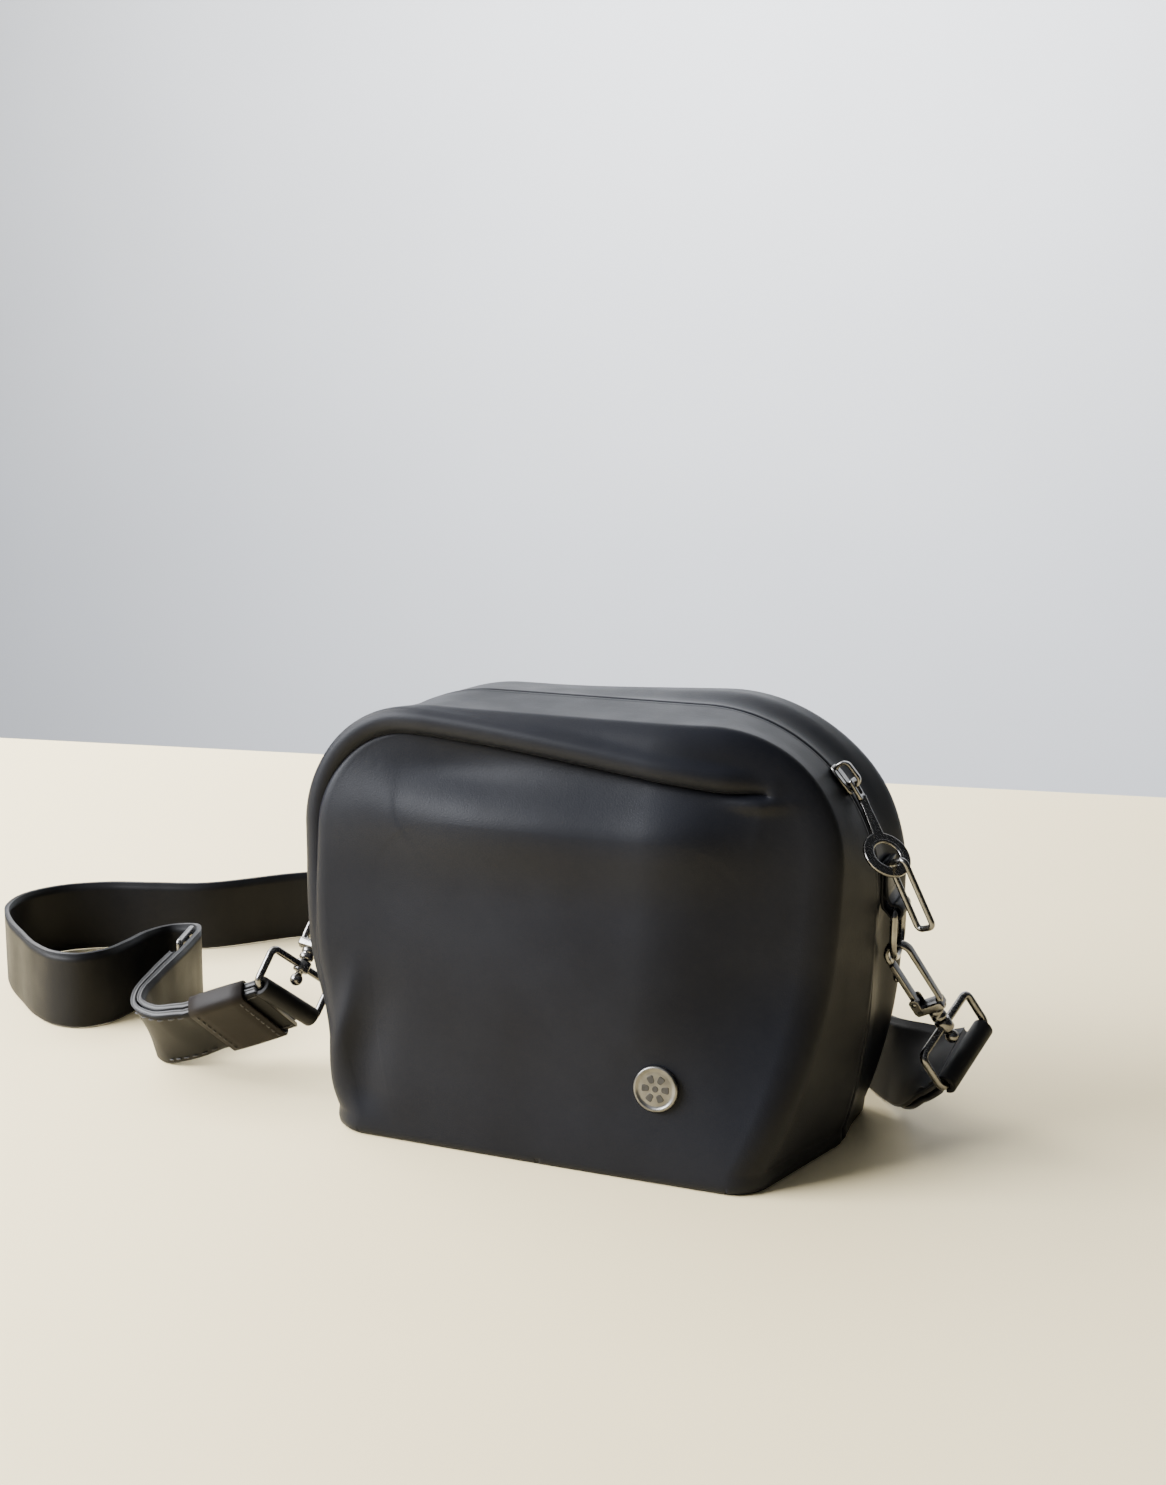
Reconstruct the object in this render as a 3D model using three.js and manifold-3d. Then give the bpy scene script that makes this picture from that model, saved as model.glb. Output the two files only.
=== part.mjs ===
// A compact leather sling bag: two zipped-together halves on a flat base, and a flat
// shoulder strap that hooks onto a ring at each side and lies looped on the surface.
// Millimetres, +Z up. The origin is the centre of the flat base, -Y is the front.
import * as THREE from 'three';
import { mergeVertices } from 'three/addons/utils/BufferGeometryUtils.js';
import Module from 'manifold-3d';

// ---- Driving dimensions ----
const ZIP_Y = 8; // plane of the zip, where the front half meets the back half
const ZIP_ARCH = { base: 96, half: 105, height: 157, radius: 64 };
const FRONT_ARCH = { base: 77, half: 95, height: 154, radius: 43 };
const BACK_ARCH = { base: 95, half: 103.5, height: 155.5, radius: 62 };
// depth runs from the zip plane to the face, and lean is how much shallower the top is
const FRONT = { side: -1, depth: 56, lean: 20, arch: FRONT_ARCH, edge: 9, edgeShare: 0.18 };
const BACK = { side: 1, depth: 40, lean: 3, arch: BACK_ARCH, edge: 10, edgeShare: 0.26 };
const FOOT_RADIUS = 7; // where a side turns into the base
const SHELL_WALL = 2.5;
const GAP = 0.3; // clearance between neighbouring pieces
const SHELL_FLOOR = 3.3; // lowest edge of both halves, just above the base panel
const TAPE = { inset: 2.8, thick: 0.8, width: 11 };
const LINING = { inset: 4, thick: 1 };
const ZIP_SEAM = 1.5; // half the slot between the leather edges, which the teeth fill
const ZIP_STOP = { half: 1.2, low: 3.6, top: 8.4 };
const STRAP = { width: 32, thick: 2, ply: 3 };
const WIRE = 1.5; // radius of the strap loops' wire
const LOOP = { half: 18.2, depth: 15, corner: 3 };
const RING = { x: 111, y: 19.5, z: 79, radius: 9, wire: 1.3 };
const HOOK_REACH = 33.6; // from a strap loop's near bar to the ring's wire
const BADGE = { x: 42, z: 33, radius: 8, thick: 1.8 };
const SLIDER_ANGLE = 40; // degrees round the right-hand shoulder, from horizontal
const PULLER = { angle: 33, eye: 6.6, outer: 8.9, inner: 5.4, thick: 1.5 };
// the puller's ring swings out and forwards, and the link hangs on through it
const PULL_RING = new THREE.Vector3(110.3, -5, 113);
const PULL_FACING = new THREE.Vector3(0.7, -0.68, 0.2);
const LINK = { end: new THREE.Vector3(125, -6, 89), half: 3.5, wire: 1.1, hold: 3.5 };

const wasm = await Module();
wasm.setup();

// ---- Materials ----
function finish(name, color, roughness, metalness) {
  return () => new THREE.MeshStandardMaterial({ name, color, roughness, metalness });
}
const leather = finish('leather', 0x2b2d32, 0.6, 0);
const lining = finish('lining', 0x33353a, 0.9, 0);
const board = finish('board', 0x6b6257, 0.9, 0);
const tape = finish('tape', 0x141519, 0.85, 0);
const strapLeather = finish('strap', 0x232427, 0.65, 0);
const gunmetal = finish('gunmetal', 0x4a4744, 0.32, 1);
const pewter = finish('pewter', 0x8c887e, 0.35, 1);

// ---- Solids ----
function toSolid(geometry) {
  const bare = geometry.clone();
  bare.deleteAttribute('normal');
  bare.deleteAttribute('uv');
  const welded = mergeVertices(bare, 1e-4);
  return new wasm.Manifold(new wasm.Mesh({
    numProp: 3,
    vertProperties: new Float32Array(welded.attributes.position.array),
    triVerts: new Uint32Array(welded.index.array),
  }));
}

function toGeometry(solid) {
  const mesh = solid.getMesh();
  const geometry = new THREE.BufferGeometry();
  geometry.setAttribute('position', new THREE.BufferAttribute(mesh.vertProperties, 3));
  geometry.setIndex(new THREE.BufferAttribute(mesh.triVerts, 1));
  geometry.computeVertexNormals();
  return geometry;
}

function joined(...geometries) {
  const solids = geometries.map(toSolid);
  return toGeometry(solids.reduce((whole, next) => whole.add(next)));
}

function box(x0, x1, y0, y1, z0, z1) {
  const geometry = new THREE.BoxGeometry(x1 - x0, y1 - y0, z1 - z0);
  return geometry.translate((x0 + x1) / 2, (y0 + y1) / 2, (z0 + z1) / 2);
}

// a cylinder whose axis runs along Z
function postZ(radius, z0, z1, sides = 16) {
  const geometry = new THREE.CylinderGeometry(radius, radius, z1 - z0, sides);
  return geometry.rotateX(Math.PI / 2).translate(0, 0, (z0 + z1) / 2);
}

// a flat outline drawn in X and Z, made thick along Y and centred on it
function plateXZ(shape, thickness, curveSegments = 8) {
  const options = { depth: thickness, bevelEnabled: false, curveSegments };
  const geometry = new THREE.ExtrudeGeometry(shape, options);
  return geometry.rotateX(Math.PI / 2).translate(0, thickness / 2, 0);
}

// a flat outline drawn in X and Y, made thick along Z and centred on it
function plateXY(shape, thickness, curveSegments = 8) {
  const options = { depth: thickness, bevelEnabled: false, curveSegments };
  return new THREE.ExtrudeGeometry(shape, options).translate(0, 0, -thickness / 2);
}

function polygon(points) {
  return new THREE.Shape(points.map(([x, y]) => new THREE.Vector2(x, y)));
}

function named(name, geometry, material) {
  const mesh = new THREE.Mesh(geometry, material());
  mesh.name = name;
  return mesh;
}

// ---- The two halves of the bag ----
// The outline of an arch, from the right foot over the top to the left foot. A closed one
// has rounded feet on the base, and an open one runs straight down past it.
function archOutline(arch, inset, open) {
  const base = arch.base - inset;
  const half = arch.half - inset;
  const top = arch.height - inset;
  const radius = Math.max(arch.radius - inset, 5);
  const shoulder = top - radius;
  const bulge = 0.4 * shoulder;
  const foot = FOOT_RADIUS;
  const start = open ? new THREE.Vector2(base, -12) : new THREE.Vector2(base - foot, 0);
  const shape = new THREE.Shape();
  shape.moveTo(start.x, start.y);
  shape.quadraticCurveTo(base, 0, base, foot);
  shape.quadraticCurveTo(half, bulge, half, shoulder);
  shape.absarc(half - radius, shoulder, radius, 0, Math.PI / 2);
  shape.lineTo(radius - half, top);
  shape.absarc(radius - half, shoulder, radius, Math.PI / 2, Math.PI);
  shape.quadraticCurveTo(-half, bulge, -base, foot);
  shape.quadraticCurveTo(-base, 0, -start.x, start.y);
  const stretches = shape.curves.filter((curve) => curve.getLength() > 1e-6);
  const steps = (curve) => (curve.isLineCurve ? 1 : curve.isEllipseCurve ? 10 : 5);
  return [start, ...stretches.flatMap((curve) => curve.getPoints(steps(curve)).slice(1))];
}

function mix(a, b, share) {
  return a + (b - a) * share;
}

// how far the outline has rounded in at a share of the way to the face
function edgeInset(half, share, inset) {
  const along = Math.max(0, (share - (1 - half.edgeShare)) / half.edgeShare);
  const radius = Math.max(half.edge - inset, 3);
  return radius * (1 - Math.sqrt(Math.max(0, 1 - along * along)));
}

// one cross-section of a half: share 0 is at the zip plane and 1 is at the face
function halfSection(half, share, inset, open) {
  const arch = {};
  for (const key of Object.keys(ZIP_ARCH)) {
    arch[key] = mix(ZIP_ARCH[key], half.arch[key], Math.max(share, 0));
  }
  const outline = archOutline(arch, inset + edgeInset(half, share, inset), open);
  return outline.map(({ x, y: z }) => {
    const depth = half.depth - inset - (half.lean * z) / ZIP_ARCH.height;
    return new THREE.Vector3(x, ZIP_Y + half.side * share * depth, z);
  });
}

// A closed solid through a row of cross-sections with the same number of points.
function loft(sections) {
  const ring = sections[0].length;
  const vertices = sections.flat();
  const index = [];
  for (let row = 0; row + 1 < sections.length; row += 1) {
    for (let i = 0; i < ring; i += 1) {
      const a = row * ring + i;
      const b = row * ring + ((i + 1) % ring);
      index.push(a, b, b + ring, a, b + ring, a + ring);
    }
  }
  const ends = [[0, -1], [sections.length - 1, 1]];
  for (const [row, turn] of ends) {
    const centre = vertices.length;
    const middle = new THREE.Vector3();
    sections[row].forEach((point) => middle.addScaledVector(point, 1 / ring));
    vertices.push(middle);
    for (let i = 0; i < ring; i += 1) {
      const a = row * ring + i;
      const b = row * ring + ((i + 1) % ring);
      index.push(centre, ...(turn > 0 ? [a, b] : [b, a]));
    }
  }
  const geometry = new THREE.BufferGeometry().setFromPoints(vertices);
  geometry.setIndex(index);
  return geometry;
}

const HALF_SHARES = [0, 0.3, 0.62, 0.84, 0.92, 0.965, 0.99, 1];

// a half of the bag as a solid; an open one runs on past the zip plane and the floor
function halfSolid(half, inset, open) {
  const shares = open ? [-0.2, ...HALF_SHARES] : HALF_SHARES;
  const sections = shares.map((share) => halfSection(half, share, inset, open));
  const ordered = half.side < 0 ? sections : sections.reverse();
  return toSolid(loft(ordered));
}

// a wall of a half between two insets, and between two distances from the zip plane
function halfWall(half, inset, thick, from, to = 80, low = SHELL_FLOOR) {
  const outer = halfSolid(half, inset, inset > 0);
  const inner = halfSolid(half, inset + thick, true);
  const near = ZIP_Y + half.side * from;
  const far = ZIP_Y + half.side * to;
  const room = box(-200, 200, Math.min(near, far), Math.max(near, far), low, 300);
  return toGeometry(outer.subtract(inner).intersect(toSolid(room)));
}

// the outline of the base, as far in from the leather as the inset
function baseOutline(inset) {
  const right = [];
  for (const half of [FRONT, BACK]) {
    const shares = half.side < 0 ? [...HALF_SHARES].reverse() : HALF_SHARES.slice(1);
    for (const share of shares) {
      const width = mix(ZIP_ARCH.base, half.arch.base, share) - edgeInset(half, share, 0);
      right.push([width - inset, ZIP_Y + half.side * share * (half.depth - inset)]);
    }
  }
  const left = right.map(([x, y]) => [-x, y]).reverse();
  return polygon([...right, ...left]);
}

function basePlate(inset, z0, z1) {
  const options = { depth: z1 - z0, bevelEnabled: false };
  return new THREE.ExtrudeGeometry(baseOutline(inset), options).translate(0, 0, z0);
}

function addHalves(bag) {
  const toothDepth = ZIP_SEAM - GAP;
  for (const [label, half] of [['front', FRONT], ['back', BACK]]) {
    const shell = halfWall(half, 0, SHELL_WALL, ZIP_SEAM);
    bag.add(named(`${label}_shell`, shell, leather));
    const inside = halfWall(half, LINING.inset, LINING.thick, ZIP_SEAM);
    bag.add(named(`${label}_lining`, inside, lining));
    const band = halfWall(half, TAPE.inset, TAPE.thick, ZIP_SEAM, TAPE.width);
    bag.add(named(`${label}_zip_tape`, band, tape));
    const teeth = halfWall(half, -0.4, 3.6, GAP / 2, toothDepth, ZIP_STOP.top + GAP);
    bag.add(named(`${label}_zip_teeth`, teeth, tape));
  }
}

function addBase(bag) {
  const boardTop = SHELL_FLOOR + 1.8;
  bag.add(named('base_panel', basePlate(1.2, 0, SHELL_FLOOR - GAP), leather));
  bag.add(named('base_board', basePlate(8, SHELL_FLOOR, boardTop), board));
  bag.add(named('base_lining', basePlate(8, boardTop + GAP, boardTop + GAP + 1), lining));
}

function addPocket(bag) {
  const y0 = ZIP_Y + BACK.depth - LINING.inset - LINING.thick - BACK.lean - 1.6;
  const pocket = box(-66, 66, y0, y0 + 1, 22, 100);
  bag.add(named('pocket_panel', pocket, lining));
  const binding = box(-66, 66, y0 - 0.6, y0 + 1.2, 100.3, 105);
  bag.add(named('pocket_binding', binding, tape));
}

// ---- Badge: a round metal disc near the lower right of the front ----
function addBadge(bag) {
  const lean = Math.atan(FRONT.lean / ZIP_ARCH.height);
  const depth = FRONT.depth - (FRONT.lean * BADGE.z) / ZIP_ARCH.height;
  const place = new THREE.Group();
  place.position.set(BADGE.x, ZIP_Y - depth, BADGE.z);
  place.rotation.x = Math.PI / 2 - lean;
  const disc = postZ(BADGE.radius, GAP, GAP + BADGE.thick, 36);
  place.add(named('badge_disc', disc, pewter));
  const washer = postZ(BADGE.radius * 0.75, -5.9, -5.3, 24);
  place.add(named('badge_washer', washer, pewter));
  bag.add(place);
}

// ---- Zip slider and puller ----
// a group whose X points down along the track and whose Z points out from it
function alongTrack(angle, x, y, z) {
  const place = new THREE.Group();
  place.position.set(x, y, z);
  place.rotation.y = Math.PI / 2 - THREE.MathUtils.degToRad(angle);
  return place;
}

function sliderBody() {
  const plate = box(-6, 6, -4.5, 4.5, 1.3, 2.2);
  const arch = [
    [-5.5, 2], [5.2, 2], [5.2, 5.6], [3.4, 7.4], [-3.6, 7.4], [-5.5, 5.6],
  ];
  const shape = polygon(arch);
  shape.holes.push(polygon([[-4, 3], [3.8, 3], [3.8, 5.2], [3, 5.9], [-3.2, 5.9], [-4, 5.2]]));
  const bridge = plateXZ(shape, 2.2);
  const slot = toSolid(box(-4, 3.8, -3, 3, 2.2, 3.2));
  return toGeometry(toSolid(plate).add(toSolid(bridge)).subtract(slot));
}

// the puller's eye, round the slider's bridge
function pullerEye() {
  const { eye, thick } = PULLER;
  const shape = polygon([[-0.7, -3.4], [eye + 1, -3.4], [eye + 1, 3.4], [-0.7, 3.4]]);
  shape.holes.push(polygon([[0.7, -1.7], [0.7, 1.7], [5.8, 1.7], [5.8, -1.7]]));
  return plateXY(shape, thick);
}

// the puller's neck and ring, with the ring's centre a reach along X
function pullerPlate(reach) {
  const { outer, inner, thick } = PULLER;
  const neck = 2.2;
  const join = Math.asin(neck / outer);
  const shape = new THREE.Shape();
  shape.moveTo(-0.6, neck);
  shape.lineTo(-0.6, -neck);
  shape.absarc(reach, 0, outer, join - Math.PI, Math.PI - join);
  const hole = new THREE.Path();
  hole.absarc(reach, 0, inner, 0, 2 * Math.PI, true);
  shape.holes.push(hole);
  return plateXY(shape, thick, 14);
}

// a wire loop through the puller's ring, drawn from its near end along X
function pullerLink(length) {
  const { half, wire } = LINK;
  const corners = [[0, -half], [length, -half], [length, half], [0, half]];
  const path = roundedLoop(corners.map(([x, z]) => new THREE.Vector3(x, 0, z)), 1.6);
  return new THREE.TubeGeometry(path, 44, wire, 8, true);
}

// a matrix at a place, with X along one direction and Z near another
function lookAlong(place, ahead, facing) {
  const x = ahead.clone().normalize();
  const z = facing.clone().addScaledVector(x, -facing.dot(x)).normalize();
  const y = new THREE.Vector3().crossVectors(z, x);
  return new THREE.Matrix4().makeBasis(x, y, z).setPosition(place);
}

function addZipPull(bag) {
  const centre = { x: ZIP_ARCH.half - ZIP_ARCH.radius, z: ZIP_ARCH.height - ZIP_ARCH.radius };
  const angle = THREE.MathUtils.degToRad(SLIDER_ANGLE);
  const x = centre.x + ZIP_ARCH.radius * Math.cos(angle);
  const z = centre.z + ZIP_ARCH.radius * Math.sin(angle);
  const track = alongTrack(SLIDER_ANGLE, x, ZIP_Y, z);
  track.add(named('zip_slider', sliderBody(), gunmetal));
  bag.add(track);
  track.updateMatrixWorld();
  const hinge = new THREE.Vector3(2.3, 0, 4.1).applyMatrix4(track.matrixWorld);
  const hang = alongTrack(PULLER.angle, hinge.x, ZIP_Y, hinge.z);
  hang.updateMatrixWorld();
  const neckAt = new THREE.Vector3(PULLER.eye, 0, 0).applyMatrix4(hang.matrixWorld);
  const reach = PULL_RING.clone().sub(neckAt);
  const facing = lookAlong(neckAt, reach, PULL_FACING);
  const plate = pullerPlate(reach.length()).applyMatrix4(facing);
  const puller = joined(pullerEye().applyMatrix4(hang.matrixWorld), plate);
  bag.add(named('zip_puller', puller, gunmetal));
  const normal = new THREE.Vector3().setFromMatrixColumn(facing, 2);
  const away = LINK.end.clone().sub(PULL_RING);
  const inPlane = away.clone().addScaledVector(normal, -away.dot(normal)).normalize();
  const rim = (PULLER.outer + PULLER.inner) / 2;
  const near = PULL_RING.clone().addScaledVector(inPlane, rim);
  near.addScaledVector(LINK.end.clone().sub(near).normalize(), -LINK.hold);
  const run = LINK.end.clone().sub(near);
  const link = pullerLink(run.length()).applyMatrix4(lookAlong(near, run, normal));
  bag.add(named('puller_link', link, gunmetal));
}

// a small metal clip closes each end of the track, down at the base
function addZipStops(bag) {
  const { half, low, top } = ZIP_STOP;
  const outer = ZIP_ARCH.base;
  for (const [label, side] of [['right', 1], ['left', -1]]) {
    const x0 = side > 0 ? outer - 3.4 : -outer;
    const stop = box(x0, x0 + 3.4, ZIP_Y - half, ZIP_Y + half, low, top);
    bag.add(named(`zip_stop_${label}`, stop, gunmetal));
  }
}

// ---- Side rings, hooks and strap loops ----
// a closed wire through straight stretches with rounded corners
function roundedLoop(corners, radius) {
  const path = new THREE.CurvePath();
  const count = corners.length;
  const entry = (i) => corners[i].clone().lerp(
    corners[(i + count - 1) % count],
    radius / corners[i].distanceTo(corners[(i + count - 1) % count]),
  );
  const leave = (i) => corners[i].clone().lerp(
    corners[(i + 1) % count],
    radius / corners[i].distanceTo(corners[(i + 1) % count]),
  );
  for (let i = 0; i < count; i += 1) {
    path.add(new THREE.QuadraticBezierCurve3(entry(i), corners[i], leave(i)));
    path.add(new THREE.LineCurve3(leave(i), entry((i + 1) % count)));
  }
  return path;
}

function ringBody() {
  const { radius } = RING;
  const points = [new THREE.Vector3(0, -radius, radius), new THREE.Vector3(0, radius, radius)];
  const steps = 10;
  for (let i = 0; i <= steps; i += 1) {
    const turn = (Math.PI * i) / steps;
    points.push(new THREE.Vector3(0, radius * Math.cos(turn), -radius * Math.sin(turn)));
  }
  const path = roundedLoop(points, 1.2);
  return new THREE.TubeGeometry(path, 40, RING.wire, 8, true);
}

// a leather tab sewn to the side, wrapped round the straight bar of the ring
function ringTab() {
  const barZ = RING.z + RING.radius;
  const reach = RING.x - ZIP_ARCH.half;
  const plate = box(0.4, 2.4, -8, 8, barZ - 2, barZ + 18);
  const bend = box(2, reach, -7.2, 7.2, barZ + 1.9, barZ + 3.3);
  const barrel = postZ(3.4, -7.2, 7.2).rotateX(Math.PI / 2).translate(reach, 0, barZ);
  const bore = postZ(1.8, -9, 9).rotateX(Math.PI / 2).translate(reach, 0, barZ);
  const whole = toSolid(plate).add(toSolid(bend)).add(toSolid(barrel));
  return toGeometry(whole.subtract(toSolid(bore)));
}

function strapLoop() {
  const { half, depth, corner } = LOOP;
  const corners = [[-half, 0], [half, 0], [half, -depth], [-half, -depth]];
  const path = roundedLoop(corners.map(([x, z]) => new THREE.Vector3(x, 0, z)), corner);
  const wire = new THREE.TubeGeometry(path, 56, WIRE, 8, true);
  const boss = toSolid(postZ(3.1, -2.4, 2.4));
  const bore = toSolid(postZ(1.8, -4, 4));
  return toGeometry(toSolid(wire).add(boss).subtract(bore));
}

const HOOK = { eyeZ: 32.6, inner: 3.6, outer: 5.6, thick: 4.2, pivotX: -4.6, pivotZ: 13 };

function hookBody() {
  const { eyeZ, inner, outer, thick, pivotX, pivotZ } = HOOK;
  const shape = new THREE.Shape();
  shape.moveTo(-5, 7);
  shape.lineTo(5, 7);
  shape.lineTo(outer, 10);
  shape.absarc(0, eyeZ, outer, 0, Math.PI, false);
  shape.lineTo(-outer, eyeZ - 2);
  shape.lineTo(-inner, eyeZ - 2);
  shape.absarc(0, eyeZ, inner, Math.PI, 0, true);
  shape.lineTo(inner, 10.8);
  shape.lineTo(-outer, 10.8);
  const blade = plateXZ(shape, thick, 10);
  const cheeks = box(-6.4, 5, -3.3, 3.3, 7.4, 10.8);
  const ears = [-3.3, 2.5].map((y) => box(-6.4, -2.8, y, y + 0.8, 8, 14.8));
  const pin = postZ(0.7, -3, 3, 10).rotateX(Math.PI / 2).translate(pivotX, 0, pivotZ);
  const collar = postZ(2.9, 3, 7.6);
  const shank = postZ(1.4, -6, 4, 12);
  const ball = new THREE.SphereGeometry(2.5, 14, 8).rotateX(Math.PI / 2).translate(0, 0, -5.6);
  return joined(blade, cheeks, ...ears, pin, collar, shank, ball);
}

// the sprung gate, drawn about its own pivot
function gateBody() {
  const top = HOOK.eyeZ - 2.4 - HOOK.pivotZ;
  const lever = toSolid(box(-1, 1, -2, 2, -1.5, top));
  const knob = postZ(1.3, 0.8, 2.2, 12).rotateY(-Math.PI / 2).translate(0, 0, 11);
  const bore = postZ(1, -4, 4, 10).rotateX(Math.PI / 2);
  return toGeometry(lever.add(toSolid(knob)).subtract(toSolid(bore)));
}

// a group at a point, with its Z along one direction and its X near another
function aimed(position, up, across) {
  const z = up.clone().normalize();
  const x = across.clone().addScaledVector(z, -across.dot(z)).normalize();
  const place = new THREE.Group();
  place.position.copy(position);
  const y = new THREE.Vector3().crossVectors(z, x);
  place.quaternion.setFromRotationMatrix(new THREE.Matrix4().makeBasis(x, y, z));
  return place;
}

// How each hook hangs: away is from the ring to the strap loop, bar is along the loop.
const SIDES = [
  { label: 'right', side: 1, away: [0.491, 0.262, -0.831], bar: [0.266, 0.85, 0.454] },
  { label: 'left', side: -1, away: [-0.163, -0.59, -0.789], bar: [0.24, 0.68, -0.69] },
];

// where the hook's eye holds the ring, and where the strap loop's near bar is
function hang({ side, away, bar }) {
  const along = new THREE.Vector3(...away).normalize();
  const pull = new THREE.Vector3(0, along.y, along.z).normalize();
  const contact = new THREE.Vector3(side * RING.x, RING.y, RING.z);
  contact.addScaledVector(pull, RING.radius);
  const loopAt = contact.clone().addScaledVector(along, HOOK_REACH);
  const outward = new THREE.Vector3().crossVectors(along, new THREE.Vector3(0, -pull.z, pull.y));
  if (outward.x * side < 0) {
    outward.negate();
  }
  const width = new THREE.Vector3(...bar);
  width.addScaledVector(along, -width.dot(along)).normalize();
  return { along, loopAt, outward, width };
}

function addSide(bag, entry) {
  const { label, side } = entry;
  const { along, loopAt, outward, width } = hang(entry);
  const up = along.clone().negate();
  const ring = new THREE.Group();
  ring.position.set(side * RING.x, RING.y, RING.z);
  ring.add(named(`ring_${label}`, ringBody(), gunmetal));
  const tabPlace = new THREE.Group();
  tabPlace.position.set(side * ZIP_ARCH.half, RING.y, 0);
  tabPlace.rotation.z = side > 0 ? 0 : Math.PI;
  tabPlace.add(named(`ring_tab_${label}`, ringTab(), leather));
  const hook = aimed(loopAt, up, outward);
  hook.add(named(`hook_${label}`, hookBody(), gunmetal));
  const gate = named(`hook_gate_${label}`, gateBody(), gunmetal);
  gate.position.set(HOOK.pivotX, 0, HOOK.pivotZ);
  hook.add(gate);
  const loop = aimed(loopAt, up, width);
  loop.add(named(`strap_loop_${label}`, strapLoop(), gunmetal));
  bag.add(ring, tabPlace, hook, loop);
}

// ---- Strap ----
// The strap's middle line, from the left loop's bar to the right loop's bar. It stands on
// its edge on the surface, and the last number is how far its top has turned towards the
// loop's bar, at either end.
const STRAP_ROUTE = [
  [-122.5, -15.5, 32.0, 1], [-131, -16.9, 28.7, 1], [-141, -18.5, 24.8, 1],
  [-152.5, -20.4, 20.4, 1], [-164, -22.3, 16.8, 0.8], [-174, -20.5, 15.5, 0.58],
  [-181, -13.5, 16, 0.36], [-184.5, -3, 17.6, 0.16], [-187.5, 10, 19, 0.04],
  [-191, 23, 19.2, 0], [-195, 36, 19.2, 0], [-199.5, 48, 18.8, 0],
  [-207, 56.5, 17.4, 0], [-216.5, 55, 16.3, 0], [-220.5, 44, 16.3, 0],
  [-220.5, 29, 16.3, 0], [-222, 15, 16.3, 0], [-229.5, 5, 16.3, 0],
  [-242, 3.5, 16.3, 0], [-257, 10, 16.3, 0], [-273, 22, 16.3, 0],
  [-291, 37, 16.3, 0], [-305, 54, 16.3, 0], [-310, 73, 16.3, 0],
  [-303, 92, 16.3, 0], [-286, 106, 16.3, 0], [-264, 114, 16.3, 0],
  [-241, 123, 16.3, 0], [-208, 157, 16.3, 0], [-170, 180, 16.3, 0],
  [-125, 184, 16.3, 0], [-75, 170, 16.3, 0], [-20, 142, 16.3, 0],
  [35, 113, 16.3, 0], [74, 88, 16.3, 0], [95, 68, 16.3, 0],
  [107, 54, 17, 0.15], [116, 45.5, 19, 0.5], [124, 39.5, 22.8, 0.85],
  [130.6, 36.4, 27.0, 1],
];
const STRAP_STEPS = 78;

const UP = new THREE.Vector3(0, 0, 1);
const BAR_UP = SIDES.map((entry) => {
  const { width } = hang(entry);
  return width.z < 0 ? width.negate() : width;
});

// A strap route that also knows which way the strap's width points along it.
class StrapCurve extends THREE.CatmullRomCurve3 {
  constructor(route, shift = 0, from = 0, to = 1) {
    super(route.map(([x, y, z]) => new THREE.Vector3(x, y, z)), false, 'centripetal');
    this.turns = route.map((entry) => entry[3]);
    this.shift = shift;
    this.from = from;
    this.to = to;
  }

  across(t) {
    const place = THREE.MathUtils.clamp(t, 0, 1) * (this.turns.length - 1);
    const before = Math.min(Math.floor(place), this.turns.length - 2);
    const turn = mix(this.turns[before], this.turns[before + 1], place - before);
    const bar = t < 0.5 ? BAR_UP[1] : BAR_UP[0];
    const tangent = this.heading(t);
    const width = UP.clone().lerp(bar, turn);
    return width.addScaledVector(tangent, -width.dot(tangent)).normalize();
  }

  heading(t) {
    const step = 1e-3;
    const a = super.getPoint(Math.max(0, t - step));
    const b = super.getPoint(Math.min(1, t + step));
    return b.sub(a).normalize();
  }

  inner(t) {
    return mix(this.from, this.to, t);
  }

  // equal steps of the route's own measure, so that the points crowd where it bends
  getUtoTmapping(u) {
    return u;
  }

  getPoint(t, target = new THREE.Vector3()) {
    const at = this.inner(t);
    super.getPoint(at, target);
    if (this.shift) {
      const out = new THREE.Vector3().crossVectors(this.heading(at), this.across(at));
      target.addScaledVector(out, this.shift);
    }
    return target;
  }

  computeFrenetFrames(segments) {
    const frames = { tangents: [], normals: [], binormals: [] };
    for (let i = 0; i <= segments; i += 1) {
      const at = this.inner(this.getUtoTmapping(i / segments));
      const tangent = this.heading(at);
      const binormal = this.across(at);
      frames.tangents.push(tangent);
      frames.binormals.push(binormal);
      frames.normals.push(new THREE.Vector3().crossVectors(binormal, tangent));
    }
    return frames;
  }
}

function strapSection() {
  const w = STRAP.width / 2;
  const t = STRAP.thick / 2;
  const bevel = 0.5;
  return polygon([[-t, bevel - w], [bevel - t, -w], [t - bevel, -w], [t, bevel - w],
    [t, -w / 3], [t, w / 3], [t, w - bevel], [t - bevel, w], [bevel - t, w],
    [-t, w - bevel], [-t, w / 3], [-t, -w / 3]]);
}

function strapBody(curve, steps) {
  const options = { steps, bevelEnabled: false, extrudePath: curve };
  return new THREE.ExtrudeGeometry(strapSection(), options);
}

// the strap where it wraps a loop's far bar, drawn round that bar's axis along Y
function strapFold() {
  const inner = WIRE + GAP + 0.1;
  const outer = inner + STRAP.thick;
  const open = THREE.MathUtils.degToRad(62);
  const shape = new THREE.Shape();
  shape.absarc(0, 0, outer, open, 2 * Math.PI - open, false);
  shape.absarc(0, 0, inner, 2 * Math.PI - open, open, true);
  return plateXZ(shape, STRAP.width, 9);
}

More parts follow.
